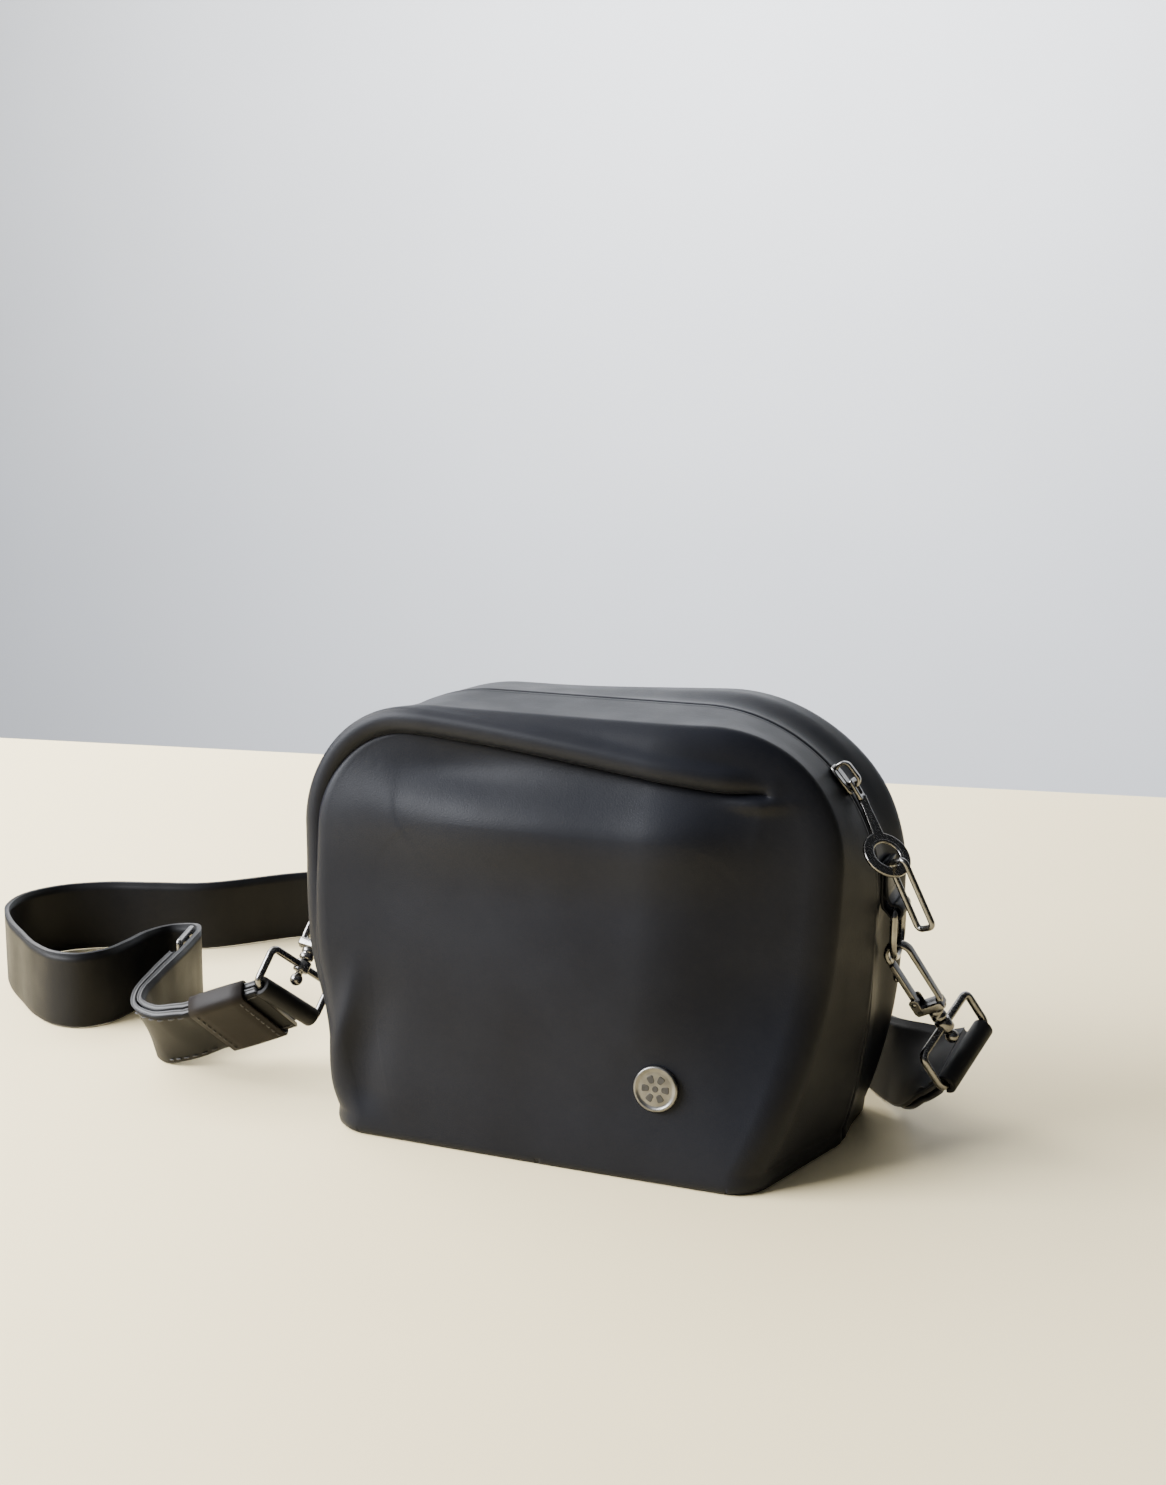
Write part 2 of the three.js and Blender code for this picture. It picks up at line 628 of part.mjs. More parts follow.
// the fold faces away from the strap, which leaves the bar along the heading
function foldPlace(entry, heading) {
  const { along, loopAt, width } = hang(entry);
  const bar = loopAt.clone().addScaledVector(along, LOOP.depth);
  const place = new THREE.Group();
  place.position.copy(bar);
  const x = heading.clone().addScaledVector(width, -heading.dot(width)).normalize();
  const z = new THREE.Vector3().crossVectors(x, width);
  place.quaternion.setFromRotationMatrix(new THREE.Matrix4().makeBasis(x, width, z));
  return place;
}

// a group on the strap, with X along it, Z across its width and Y out of its face
function onStrap(curve, at) {
  const place = new THREE.Group();
  place.position.copy(curve.getPoint(at));
  const x = curve.heading(at);
  const z = curve.across(at);
  const y = new THREE.Vector3().crossVectors(z, x);
  place.quaternion.setFromRotationMatrix(new THREE.Matrix4().makeBasis(x, y, z));
  return place;
}

function keeperBody() {
  const inHalf = STRAP.ply / 2 + STRAP.thick / 2 + 0.9;
  const across = STRAP.width / 2 + 0.8;
  const wall = 1.3;
  const sleeve = toSolid(box(-12, 12, -inHalf - wall, inHalf + wall, -across - wall, across + wall));
  const hollow = toSolid(box(-20, 20, -inHalf, inHalf, -across, across));
  return toGeometry(sleeve.subtract(hollow));
}

function adjusterBody() {
  const high = STRAP.width / 2 + 2.8;
  const frame = toSolid(box(-12, 12, -1.1, 1.1, -high, high));
  const slot = (x0, x1) => toSolid(box(x0, x1, -3, 3, 3 - high, high - 3));
  return toGeometry(frame.subtract(slot(-9.4, -1.7)).subtract(slot(1.7, 9.4)));
}

const KEEPER_AT = 0.044;
const ADJUSTER_AT = 0.256;
const TAIL_STEPS = 17;
const HEM_STEPS = 5;

function addStrap(bag) {
  const middle = new StrapCurve(STRAP_ROUTE);
  const half = STRAP.ply / 2;
  const main = new StrapCurve(STRAP_ROUTE, half);
  bag.add(named('strap_main', strapBody(main, STRAP_STEPS), strapLeather));
  const tail = new StrapCurve(STRAP_ROUTE, -half, 0, TAIL_STEPS / STRAP_STEPS);
  bag.add(named('strap_tail_left', strapBody(tail, TAIL_STEPS), strapLeather));
  const hem = new StrapCurve(STRAP_ROUTE, -half, 1 - HEM_STEPS / STRAP_STEPS, 1);
  bag.add(named('strap_tail_right', strapBody(hem, HEM_STEPS), strapLeather));
  const ends = [[SIDES[0], middle.heading(1).negate()], [SIDES[1], middle.heading(0)]];
  for (const [entry, heading] of ends) {
    const place = foldPlace(entry, heading);
    place.add(named(`strap_fold_${entry.label}`, strapFold(), strapLeather));
    bag.add(place);
  }
  const keeper = onStrap(middle, KEEPER_AT);
  keeper.add(named('strap_keeper', keeperBody(), strapLeather));
  bag.add(keeper);
  const adjuster = onStrap(middle, ADJUSTER_AT);
  const frame = named('strap_adjuster', adjusterBody(), gunmetal);
  frame.position.y = half;
  adjuster.add(frame);
  bag.add(adjuster);
}

// ---- Assembly ----
const bag = new THREE.Group();
addHalves(bag);
addBase(bag);
addPocket(bag);
addBadge(bag);
addZipPull(bag);
addZipStops(bag);
SIDES.forEach((entry) => addSide(bag, entry));
addStrap(bag);

export default bag;
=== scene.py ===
import math

import bpy
import numpy as np
from mathutils import Matrix, Vector
from mathutils.kdtree import KDTree


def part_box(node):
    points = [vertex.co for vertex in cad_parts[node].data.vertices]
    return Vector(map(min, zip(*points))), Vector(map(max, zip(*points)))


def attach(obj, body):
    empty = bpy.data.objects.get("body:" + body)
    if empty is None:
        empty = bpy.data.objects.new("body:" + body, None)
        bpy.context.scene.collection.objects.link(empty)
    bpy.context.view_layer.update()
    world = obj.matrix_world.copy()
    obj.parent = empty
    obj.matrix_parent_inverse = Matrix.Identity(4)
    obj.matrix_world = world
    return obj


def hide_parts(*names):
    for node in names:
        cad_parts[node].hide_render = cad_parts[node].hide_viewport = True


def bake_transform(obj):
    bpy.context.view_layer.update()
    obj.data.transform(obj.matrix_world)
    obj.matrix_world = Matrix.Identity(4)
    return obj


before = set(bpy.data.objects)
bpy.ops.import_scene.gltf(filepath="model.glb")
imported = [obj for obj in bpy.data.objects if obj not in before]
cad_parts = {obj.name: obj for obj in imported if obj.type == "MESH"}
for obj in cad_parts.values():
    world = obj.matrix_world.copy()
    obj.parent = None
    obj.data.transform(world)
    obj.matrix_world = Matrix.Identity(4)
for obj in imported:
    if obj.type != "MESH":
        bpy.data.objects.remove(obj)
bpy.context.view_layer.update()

MM = 0.001
UP = Vector((0, 0, 1))

# ---- Driving dimensions, in millimetres, as in the solid model ----
ZIP_Y = 8.0
ZIP_ARCH = {"base": 96.0, "half": 105.0, "height": 157.0, "radius": 64.0}
FRONT_ARCH = {"base": 77.0, "half": 95.0, "height": 154.0, "radius": 43.0}
BACK_ARCH = {"base": 95.0, "half": 103.5, "height": 155.5, "radius": 62.0}
FRONT = {"side": -1, "depth": 56.0, "lean": 20.0, "arch": FRONT_ARCH, "edge": 9.0, "share": 0.18}
BACK = {"side": 1, "depth": 40.0, "lean": 3.0, "arch": BACK_ARCH, "edge": 10.0, "share": 0.26}
FOOT = 3.2  # how softly the leather turns under at the table
STRAP_WIDTH = 32.0
STRAP_THICK = 2.0
PLY = 3.0  # from one ply of the strap to the next
LOOP = {"half": 18.2, "depth": 15.0, "corner": 3.0, "wire": 1.5}
RING = {"x": 111.0, "y": 19.5, "z": 79.0, "radius": 9.0, "wire": 1.3}
HOOK_REACH = 33.6
HOOK = {"eye": 32.6, "inner": 3.6, "outer": 5.6, "thick": 4.2, "pivot": (-4.6, 13.0)}
BADGE = {"x": 42.0, "z": 33.0, "radius": 8.0, "thick": 1.8}
SLIDER_ANGLE = 40.0
PULLER = {"angle": 33.0, "eye": 6.6, "outer": 8.9, "inner": 5.4, "thick": 1.5}
PULL_RING = Vector((110.3, -5, 113))
PULL_FACING = Vector((0.7, -0.68, 0.2))
LINK = {"end": Vector((125, -6, 89)), "half": 3.5, "wire": 1.1, "hold": 3.5}


# ---- Camera ----
def add_camera():
    data = bpy.data.cameras.new("camera")
    data.sensor_width = 36
    data.lens = 43.2
    camera = bpy.data.objects.new("camera", data)
    bpy.context.scene.collection.objects.link(camera)
    ahead = Vector((-0.3403, 0.9206, -0.1918))
    turn = ahead.to_track_quat("-Z", "Y").to_matrix().to_4x4()
    roll = Matrix.Rotation(math.radians(0.63), 4, "Z")
    camera.matrix_world = Matrix.Translation((0.2171, -0.5941, 0.2662)) @ turn @ roll
    bpy.context.scene.camera = camera


# ---- Materials ----
class Nodes:
    """A material's node tree, with short calls for the nodes used here."""

    def __init__(self, name, color, roughness, metallic=0.0):
        self.material = bpy.data.materials.new(name)
        self.material.use_nodes = True
        self.material.diffuse_color = (*color, 1)
        self.tree = self.material.node_tree
        self.shader = self.tree.nodes["Principled BSDF"]
        self.shader.inputs["Base Color"].default_value = (*color, 1)
        self.shader.inputs["Roughness"].default_value = roughness
        self.shader.inputs["Metallic"].default_value = metallic
        self.place = self.tree.nodes.new("ShaderNodeTexCoord").outputs["Object"]

    def node(self, kind, **inputs):
        node = self.tree.nodes.new(kind)
        for name, value in inputs.items():
            self.feed(node.inputs[name.replace("_", " ")], value)
        return node

    def feed(self, socket, value):
        if isinstance(value, bpy.types.NodeSocket):
            self.tree.links.new(value, socket)
        else:
            socket.default_value = value

    def stretched(self, scale):
        return self.node("ShaderNodeMapping", Vector=self.place, Scale=scale).outputs[0]

    def noise(self, scale, detail=3.0, where=None):
        where = where or self.place
        node = self.node("ShaderNodeTexNoise", Vector=where, Scale=scale, Detail=detail)
        return node.outputs["Fac"]

    def cells(self, scale):
        node = self.node("ShaderNodeTexVoronoi", Vector=self.place, Scale=scale)
        return node.outputs["Distance"]

    def waves(self, scale, direction):
        node = self.node("ShaderNodeTexWave", Vector=self.place, Scale=scale)
        node.bands_direction = direction
        return node.outputs["Fac"]

    def math(self, operation, a, b):
        node = self.tree.nodes.new("ShaderNodeMath")
        node.operation = operation
        self.feed(node.inputs[0], a)
        self.feed(node.inputs[1], b)
        return node.outputs[0]

    def spread(self, value, low, high, to_low, to_high):
        node = self.node("ShaderNodeMapRange", Value=value)
        for index, number in enumerate((low, high, to_low, to_high), start=1):
            node.inputs[index].default_value = number
        return node.outputs[0]

    def tint(self, value, dark, light, low=0.3, high=0.7):
        ramp = self.node("ShaderNodeValToRGB", Fac=value)
        ramp.color_ramp.elements[0].position = low
        ramp.color_ramp.elements[1].position = high
        ramp.color_ramp.elements[0].color = (*dark, 1)
        ramp.color_ramp.elements[1].color = (*light, 1)
        self.feed(self.shader.inputs["Base Color"], ramp.outputs["Color"])

    def rough(self, value, low, high):
        self.feed(self.shader.inputs["Roughness"], self.spread(value, 0.3, 0.7, low, high))

    def bump(self, height, strength, depth):
        node = self.node("ShaderNodeBump", Height=height, Strength=strength, Distance=depth)
        self.feed(self.shader.inputs["Normal"], node.outputs["Normal"])


def leather(name, dark, light, rough_low, rough_high, grain=1500.0):
    look = Nodes(name, light, rough_high)
    look.tint(look.noise(24.0, 5.0), dark, light)
    look.rough(look.noise(60.0, 6.0), rough_low, rough_high)
    pores = look.math("MULTIPLY", look.cells(grain), 0.7)
    hide = look.math("ADD", pores, look.noise(grain * 1.7, 4.0))
    slow = look.math("MULTIPLY", look.noise(90.0, 2.0), 1.6)
    look.bump(look.math("ADD", hide, slow), 0.22, 0.00018)
    look.shader.inputs["Specular IOR Level"].default_value = 0.11
    return look.material


def metal(name, dark, light, rough_low, rough_high):
    look = Nodes(name, light, rough_high, 1.0)
    look.tint(look.noise(260.0, 4.0), dark, light)
    scratches = look.noise(1.0, 6.0, look.stretched((900.0, 4200.0, 900.0)))
    look.rough(scratches, rough_low, rough_high)
    look.bump(scratches, 0.06, 0.00008)
    return look.material


def woven(name, dark, light, pitch):
    look = Nodes(name, light, 0.9)
    threads = look.math("MULTIPLY", look.waves(pitch, "X"), look.waves(pitch, "Z"))
    across = look.math("MULTIPLY", look.waves(pitch, "Y"), 0.5)
    cloth = look.math("ADD", threads, across)
    look.tint(look.math("ADD", cloth, look.noise(40.0)), dark, light, 0.5, 1.4)
    look.bump(cloth, 0.5, 0.0003)
    look.shader.inputs["Sheen Weight"].default_value = 0.25
    return look.material


def plain(name, dark, light, roughness, grain=700.0):
    look = Nodes(name, light, roughness)
    look.tint(look.noise(grain, 3.0), dark, light)
    look.bump(look.noise(grain * 2, 3.0), 0.1, 0.0001)
    return look.material


FINE_GRAIN = 1900.0
# Each has a dark and a light colour, then its roughness or, for cloth, its pitch.
LOOKS = {
    "leather": leather("shell_leather", (0.0072, 0.0078, 0.0108), (0.0104, 0.0114, 0.0156), 0.41, 0.49),
    "strap": leather("strap_leather", (0.0058, 0.0058, 0.0063), (0.0094, 0.0094, 0.0103), 0.44, 0.54,
                     FINE_GRAIN),
    "keeper": leather("keeper_leather", (0.0075, 0.006, 0.0056), (0.012, 0.0097, 0.009), 0.46, 0.56,
                      FINE_GRAIN),
    "edge": plain("painted_edge", (0.016, 0.016, 0.0175), (0.028, 0.028, 0.0305), 0.5),
    "thread": plain("thread", (0.02, 0.02, 0.022), (0.04, 0.04, 0.043), 0.7, 2500.0),
    "gunmetal": metal("gunmetal", (0.14, 0.135, 0.13), (0.22, 0.215, 0.205), 0.17, 0.3),
    "pewter": metal("pewter", (0.13, 0.127, 0.12), (0.21, 0.205, 0.195), 0.28, 0.42),
    "recess": plain("badge_recess", (0.012, 0.011, 0.01), (0.03, 0.028, 0.026), 0.5),
    "lining": woven("lining_fabric", (0.03, 0.032, 0.037), (0.07, 0.074, 0.084), 900.0),
    "tape": woven("zip_tape", (0.006, 0.006, 0.007), (0.015, 0.015, 0.017), 1400.0),
    "coil": plain("zip_coil", (0.008, 0.008, 0.009), (0.018, 0.018, 0.02), 0.35),
    "board": plain("stiffener_board", (0.12, 0.11, 0.1), (0.2, 0.18, 0.16), 0.85),
}


# ---- Pieces ----
def add_piece(name, verts, faces, look, body, stands_for=(), place=None, looks=(), slots=None):
    """A mesh drawn in millimetres, in its own place, that rides on a body."""
    mesh = bpy.data.meshes.new(name)
    place = place or Matrix.Identity(4)
    mesh.from_pydata([(place @ Vector(v)) * MM for v in verts], [], faces)
    for entry in (look, *looks):
        mesh.materials.append(LOOKS[entry])
    if slots is not None:
        mesh.polygons.foreach_set("material_index", slots)
    mesh.polygons.foreach_set("use_smooth", [True] * len(mesh.polygons))
    mesh.update()
    piece = bpy.data.objects.new(name, mesh)
    bpy.context.scene.collection.objects.link(piece)
    if body:
        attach(piece, body)
    if stands_for:
        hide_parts(*stands_for)
    return piece


def thicken(piece, thick):
    """Gives a sheet its thickness, inwards from its outer side, in its own mesh."""
    modifier = piece.modifiers.new("thickness", "SOLIDIFY")
    modifier.thickness = thick * MM
    modifier.offset = -1
    seen = piece.evaluated_get(bpy.context.evaluated_depsgraph_get())
    old = piece.data
    piece.data = bpy.data.meshes.new_from_object(seen)
    piece.modifiers.clear()
    bpy.data.meshes.remove(old)
    piece.data.name = piece.name


def grid_faces(rows, cols, around=False, start=0):
    faces = []
    for row in range(rows - 1):
        for col in range(cols if around else cols - 1):
            a = start + row * cols + col
            b = start + row * cols + (col + 1) % cols
            faces.append((a, a + cols, b + cols, b))
    return faces


def capped(rings, sides):
    """Faces of a body drawn as rings of points, closed at both ends."""
    ends = [tuple(range(sides)), tuple(reversed(range((rings - 1) * sides, rings * sides)))]
    return grid_faces(rings, sides, around=True) + ends


def tube(points, radius, closed=False, sides=12):
    """Vertices and faces of a round wire along points, with capped ends if open."""
    line = [Vector(p) for p in points]
    count = len(line)
    verts = []
    side = None
    for i, point in enumerate(line):
        before = line[i - 1] if i or closed else point
        after = line[(i + 1) % count] if i + 1 < count or closed else point
        ahead = (after - before).normalized()
        if side is None:
            side = ahead.orthogonal()
        side = (side - ahead * side.dot(ahead)).normalized()
        other = ahead.cross(side)
        for k in range(sides):
            turn = 2 * math.pi * k / sides
            verts.append(point + (side * math.cos(turn) + other * math.sin(turn)) * radius)
    if not closed:
        return verts, capped(count, sides)
    faces = grid_faces(count, sides, around=True)
    last = (count - 1) * sides
    shift = min(range(sides), key=lambda k: (verts[k] - verts[last]).length)
    for k in range(sides):
        a, b = last + k, last + (k + 1) % sides
        faces.append((a, (k + shift) % sides, (k + 1 + shift) % sides, b))
    return verts, faces


def merged(*parts):
    """One list of vertices and faces from several."""
    verts, faces = [], []
    for more_verts, more_faces in parts:
        start = len(verts)
        verts.extend(more_verts)
        faces.extend(tuple(start + i for i in face) for face in more_faces)
    return verts, faces


def moved(part, place):
    verts, faces = part
    return [place @ Vector(v) for v in verts], faces


def lathe(profile, sides=32):
    """A body turned about Z from (radius, z) pairs, closed at both ends."""
    verts = []
    for radius, z in profile:
        for k in range(sides):
            turn = 2 * math.pi * k / sides
            verts.append((radius * math.cos(turn), radius * math.sin(turn), z))
    return verts, [tuple(reversed(face)) for face in capped(len(profile), sides)]


def plate(outlines, thick, bevel=0.4, steps=3):
    """A flat plate in XY, centred on it, with holes and rounded edges."""
    curve = bpy.data.curves.new("plate", "CURVE")
    curve.dimensions = "2D"
    curve.fill_mode = "BOTH"
    curve.extrude = (thick / 2 - bevel) * MM
    curve.bevel_depth = bevel * MM
    curve.bevel_resolution = steps
    curve.offset = -bevel * MM
    for outline in outlines:
        spline = curve.splines.new("POLY")
        spline.points.add(len(outline) - 1)
        spline.use_cyclic_u = True
        for point, (x, y) in zip(spline.points, outline):
            point.co = (x * MM, y * MM, 0, 1)
    holder = bpy.data.objects.new("plate", curve)
    bpy.context.scene.collection.objects.link(holder)
    seen = holder.evaluated_get(bpy.context.evaluated_depsgraph_get())
    mesh = bpy.data.meshes.new_from_object(seen)
    verts = [tuple(c / MM for c in v.co) for v in mesh.vertices]
    faces = [tuple(p.vertices) for p in mesh.polygons]
    bpy.data.objects.remove(holder)
    bpy.data.curves.remove(curve)
    bpy.data.meshes.remove(mesh)
    return verts, faces


def arc(x, y, radius, start, end, steps=16):
    turns = [math.radians(start + (end - start) * i / steps) for i in range(steps + 1)]
    return [(x + radius * math.cos(t), y + radius * math.sin(t)) for t in turns]


def rounded(corners, radius, steps=5):
    """A closed outline with each corner cut to a smooth bend."""
    outline = []
    count = len(corners)
    for i, corner in enumerate(corners):
        here = Vector(corner)
        back = Vector(corners[i - 1]) - here
        on = Vector(corners[(i + 1) % count]) - here
        a = here + back.normalized() * min(radius, back.length * 0.49)
        b = here + on.normalized() * min(radius, on.length * 0.49)
        for k in range(steps + 1):
            t = k / steps
            outline.append(tuple(a * (1 - t) ** 2 + here * 2 * t * (1 - t) + b * t * t))
    return outline


def rounded_box(x0, y0, x1, y1, radius, steps=5):
    return rounded([(x0, y0), (x1, y0), (x1, y1), (x0, y1)], radius, steps)


def even(points, count, closed=False):
    """Points spaced evenly along a line through the given ones."""
    line = np.array([tuple(p) for p in points], float)
    if closed:
        line = np.vstack([line, line[:1]])
    steps = np.linalg.norm(np.diff(line, axis=0), axis=1)
    along = np.concatenate([[0], np.cumsum(steps)])
    at = np.linspace(0, along[-1], count, endpoint=not closed)
    return np.stack([np.interp(at, along, line[:, k]) for k in range(line.shape[1])], 1)


def basis(origin, x, z):
    """A place with X along one direction and Z near another."""
    x = Vector(x).normalized()
    z = Vector(z)
    z = (z - x * z.dot(x)).normalized()
    y = z.cross(x)
    return Matrix.Translation(Vector(origin)) @ Matrix((x, y, z)).transposed().to_4x4()


def aimed(origin, up, across):
    """A place with Z along one direction and X near another."""
    z = Vector(up).normalized()
    x = Vector(across)
    x = (x - z * x.dot(z)).normalized()
    y = z.cross(x)
    return Matrix.Translation(Vector(origin)) @ Matrix((x, y, z)).transposed().to_4x4()


FACE_UP = Matrix.Rotation(math.pi / 2, 4, "X")  # takes a plate from XY to XZ


# ---- How each side's hook and strap loop hang ----
# Each side's direction from the ring down to the loop, and the direction of the loop's bar.
SIDES = {
    "right": {"side": 1, "away": (0.491, 0.262, -0.831), "bar": (0.266, 0.85, 0.454)},
    "left": {"side": -1, "away": (-0.163, -0.59, -0.789), "bar": (0.24, 0.68, -0.69)},
}


def hang(entry):
    """Where a side's strap loop hangs and which way its hook and its bar are turned."""
    side = entry["side"]
    along = Vector(entry["away"]).normalized()
    pull = Vector((0, along.y, along.z)).normalized()
    contact = Vector((side * RING["x"], RING["y"], RING["z"])) + pull * RING["radius"]
    loop_at = contact + along * HOOK_REACH
    outward = along.cross(Vector((0, -pull.z, pull.y)))
    if outward.x * side < 0:
        outward.negate()
    width = Vector(entry["bar"])
    width = (width - along * width.dot(along)).normalized()
    return {"along": along, "loop": loop_at, "outward": outward, "width": width}


HUNG = {label: hang(entry) for label, entry in SIDES.items()}

# ---- Strap: the middle line, in metres, and how far its top turns to a loop's bar ----
STRAP_ROUTE = [
    (-0.1225, -0.0155, 0.0320, 1), (-0.1310, -0.0169, 0.0287, 1),
    (-0.1410, -0.0185, 0.0248, 1), (-0.1525, -0.0204, 0.0204, 1),
    (-0.1640, -0.0223, 0.0168, 0.8), (-0.1740, -0.0205, 0.0155, 0.58),
    (-0.1810, -0.0135, 0.0160, 0.36), (-0.1845, -0.0030, 0.0176, 0.16),
    (-0.1875, 0.0100, 0.0190, 0.04), (-0.1910, 0.0230, 0.0192, 0),
    (-0.1950, 0.0360, 0.0192, 0), (-0.1995, 0.0480, 0.0188, 0),
    (-0.2070, 0.0565, 0.0174, 0), (-0.2165, 0.0550, 0.0163, 0),
    (-0.2205, 0.0440, 0.0163, 0), (-0.2205, 0.0290, 0.0163, 0),
    (-0.2220, 0.0150, 0.0163, 0), (-0.2295, 0.0050, 0.0163, 0),
    (-0.2420, 0.0035, 0.0163, 0), (-0.2570, 0.0100, 0.0163, 0),
    (-0.2730, 0.0220, 0.0163, 0), (-0.2910, 0.0370, 0.0163, 0),
    (-0.3050, 0.0540, 0.0163, 0), (-0.3100, 0.0730, 0.0163, 0),
    (-0.3030, 0.0920, 0.0163, 0), (-0.2860, 0.1060, 0.0163, 0),
    (-0.2640, 0.1140, 0.0163, 0), (-0.2410, 0.1230, 0.0163, 0),
    (-0.2080, 0.1570, 0.0163, 0), (-0.1700, 0.1800, 0.0163, 0),
    (-0.1250, 0.1840, 0.0163, 0), (-0.0750, 0.1700, 0.0163, 0),
    (-0.0200, 0.1420, 0.0163, 0), (0.0350, 0.1130, 0.0163, 0),
    (0.0740, 0.0880, 0.0163, 0), (0.0950, 0.0680, 0.0163, 0),
    (0.1070, 0.0540, 0.0170, 0.15), (0.1160, 0.0455, 0.0190, 0.5),
    (0.1240, 0.0395, 0.0228, 0.85), (0.1306, 0.0364, 0.0270, 1),
]
# Places on the strap's route, from 0 at the left loop's bar to 1 at the right one's.
KEEPER_AT = 0.044
ADJUSTER_AT = 0.256
TAIL_TO = 0.22
HEM_FROM = 1 - 5 / 78
STITCHED = [(0.004, 0.018), (0.078, 0.13), (0.972, 0.996)]
STATIONS = 420  # how many sections the strap is drawn with


def strap_bar(t):
    width = HUNG["left" if t < 0.5 else "right"]["width"].copy()
    return -width if width.z < 0 else width


def strap_point(t):
    """A point on the strap's middle line in millimetres, on a centripetal curve."""
    knots = [Vector(entry[:3]) / MM for entry in STRAP_ROUTE]
    place = min(max(t, 0.0), 1.0) * (len(knots) - 1)
    i = min(int(place), len(knots) - 2)
    u = place - i
    b, c = knots[i], knots[i + 1]
    a = knots[i - 1] if i else b * 2 - c
    d = knots[i + 2] if i + 2 < len(knots) else c * 2 - b
    ab, bc, cd = ((q - p).length ** 0.5 for p, q in ((a, b), (b, c), (c, d)))
    out = ((b - a) / ab - (c - a) / (ab + bc) + (c - b) / bc) * bc
    into = ((c - b) / bc - (d - b) / (bc + cd) + (d - c) / cd) * bc
    bend = (c - b) * 3 - out * 2 - into
    close = (b - c) * 2 + out + into
    return b + out * u + bend * u * u + close * u * u * u


def strap_heading(t):
    return (strap_point(min(1, t + 1e-3)) - strap_point(max(0, t - 1e-3))).normalized()


def strap_across(t):
    turns = [entry[3] for entry in STRAP_ROUTE]
    turn = float(np.interp(t * (len(turns) - 1), range(len(turns)), turns))
    ahead = strap_heading(t)
    width = UP.lerp(strap_bar(t), turn)
    return (width - ahead * width.dot(ahead)).normalized()


def strap_place(t, shift=0.0):
    """A place on the strap: X along it, Z across its width, -Y out of its first face."""
    place = basis(strap_point(t), strap_heading(t), strap_across(t))
    return place @ Matrix.Translation((0, -shift, 0))


def strap_section():
    """The strap's outline round its thickness and width, and which sides are its edges."""
    half, thick, soft = STRAP_WIDTH / 2, STRAP_THICK / 2, 0.75
    corners = []
    for turn in (1, -1):
        corners += [(-thick * turn, -half * turn + soft), (-thick * 0.75 * turn, -half * turn + 0.2)]
        corners += [(0, -half * turn), (thick * 0.75 * turn, -half * turn + 0.2)]
        corners += [(thick * turn, -half * turn + soft)]
        corners += [(thick * turn, half * turn * share) for share in (-0.8, -0.4, 0, 0.4, 0.8)]
    edges = [i % 10 < 4 for i in range(20)]
    return corners, edges


def strap_band(shift, start, end, stations):
    section, edges = strap_section()
    verts = []
    for i in range(stations):
        place = strap_place(start + (end - start) * i / (stations - 1), shift)
        verts += [place @ Vector((0, y, z)) for y, z in section]
    slots = [int(edge) for _ in range(stations - 1) for edge in edges]
    return verts, capped(stations, len(section)), slots + [1, 1]


def stitch(length=2.6, thick=0.34):
    """One stitch along X: a short thread that dips in at both ends."""
    half = length / 2
    line = [(-half, 0, -0.25), (-half * 0.7, 0, 0.12), (0, 0, 0.24), (half * 0.7, 0, 0.12),
            (half, 0, -0.25)]
    return tube(line, thick, sides=6)


def strap_stitches():
    """Rows of stitches beside both edges of the doubled strap, on both of its faces."""
    one = stitch()
    parts = []
    face = PLY / 2 + STRAP_THICK / 2
    edge = STRAP_WIDTH / 2 - 2.6
    for start, end in STITCHED:
        count = max(2, int((strap_point(end) - strap_point(start)).length / 3.6))
        for i in range(count):
            t = start + (end - start) * (i + 0.5) / count
            for z in (-edge, edge):
                for side in (1, -1):
                    spot = strap_place(t, side * face) @ Matrix.Translation((0, 0, z))
                    parts.append(moved(one, spot @ Matrix.Rotation(side * math.pi / 2, 4, "X")))
    return add_piece("strap_stitches", *merged(*parts), "thread", "root")


def strap_fold(label, heading):
    """The strap where it wraps its loop's far bar."""
    hung = HUNG[label]
    bar = hung["loop"] + hung["along"] * LOOP["depth"]
    width = hung["width"]
    x = (heading - width * heading.dot(width)).normalized()
    place = Matrix.Translation(bar) @ Matrix((x, width, x.cross(width))).transposed().to_4x4()
    inner = LOOP["wire"] + 0.4
    outer = inner + STRAP_THICK
    outline = arc(0, 0, outer, 54, 306, 28) + arc(0, 0, inner, 306, 54, 28)
    part = moved(plate([outline], STRAP_WIDTH, 0.45), place @ FACE_UP)
    return add_piece(f"fold_{label}", *part, "strap", "root", [f"strap_fold_{label}"])


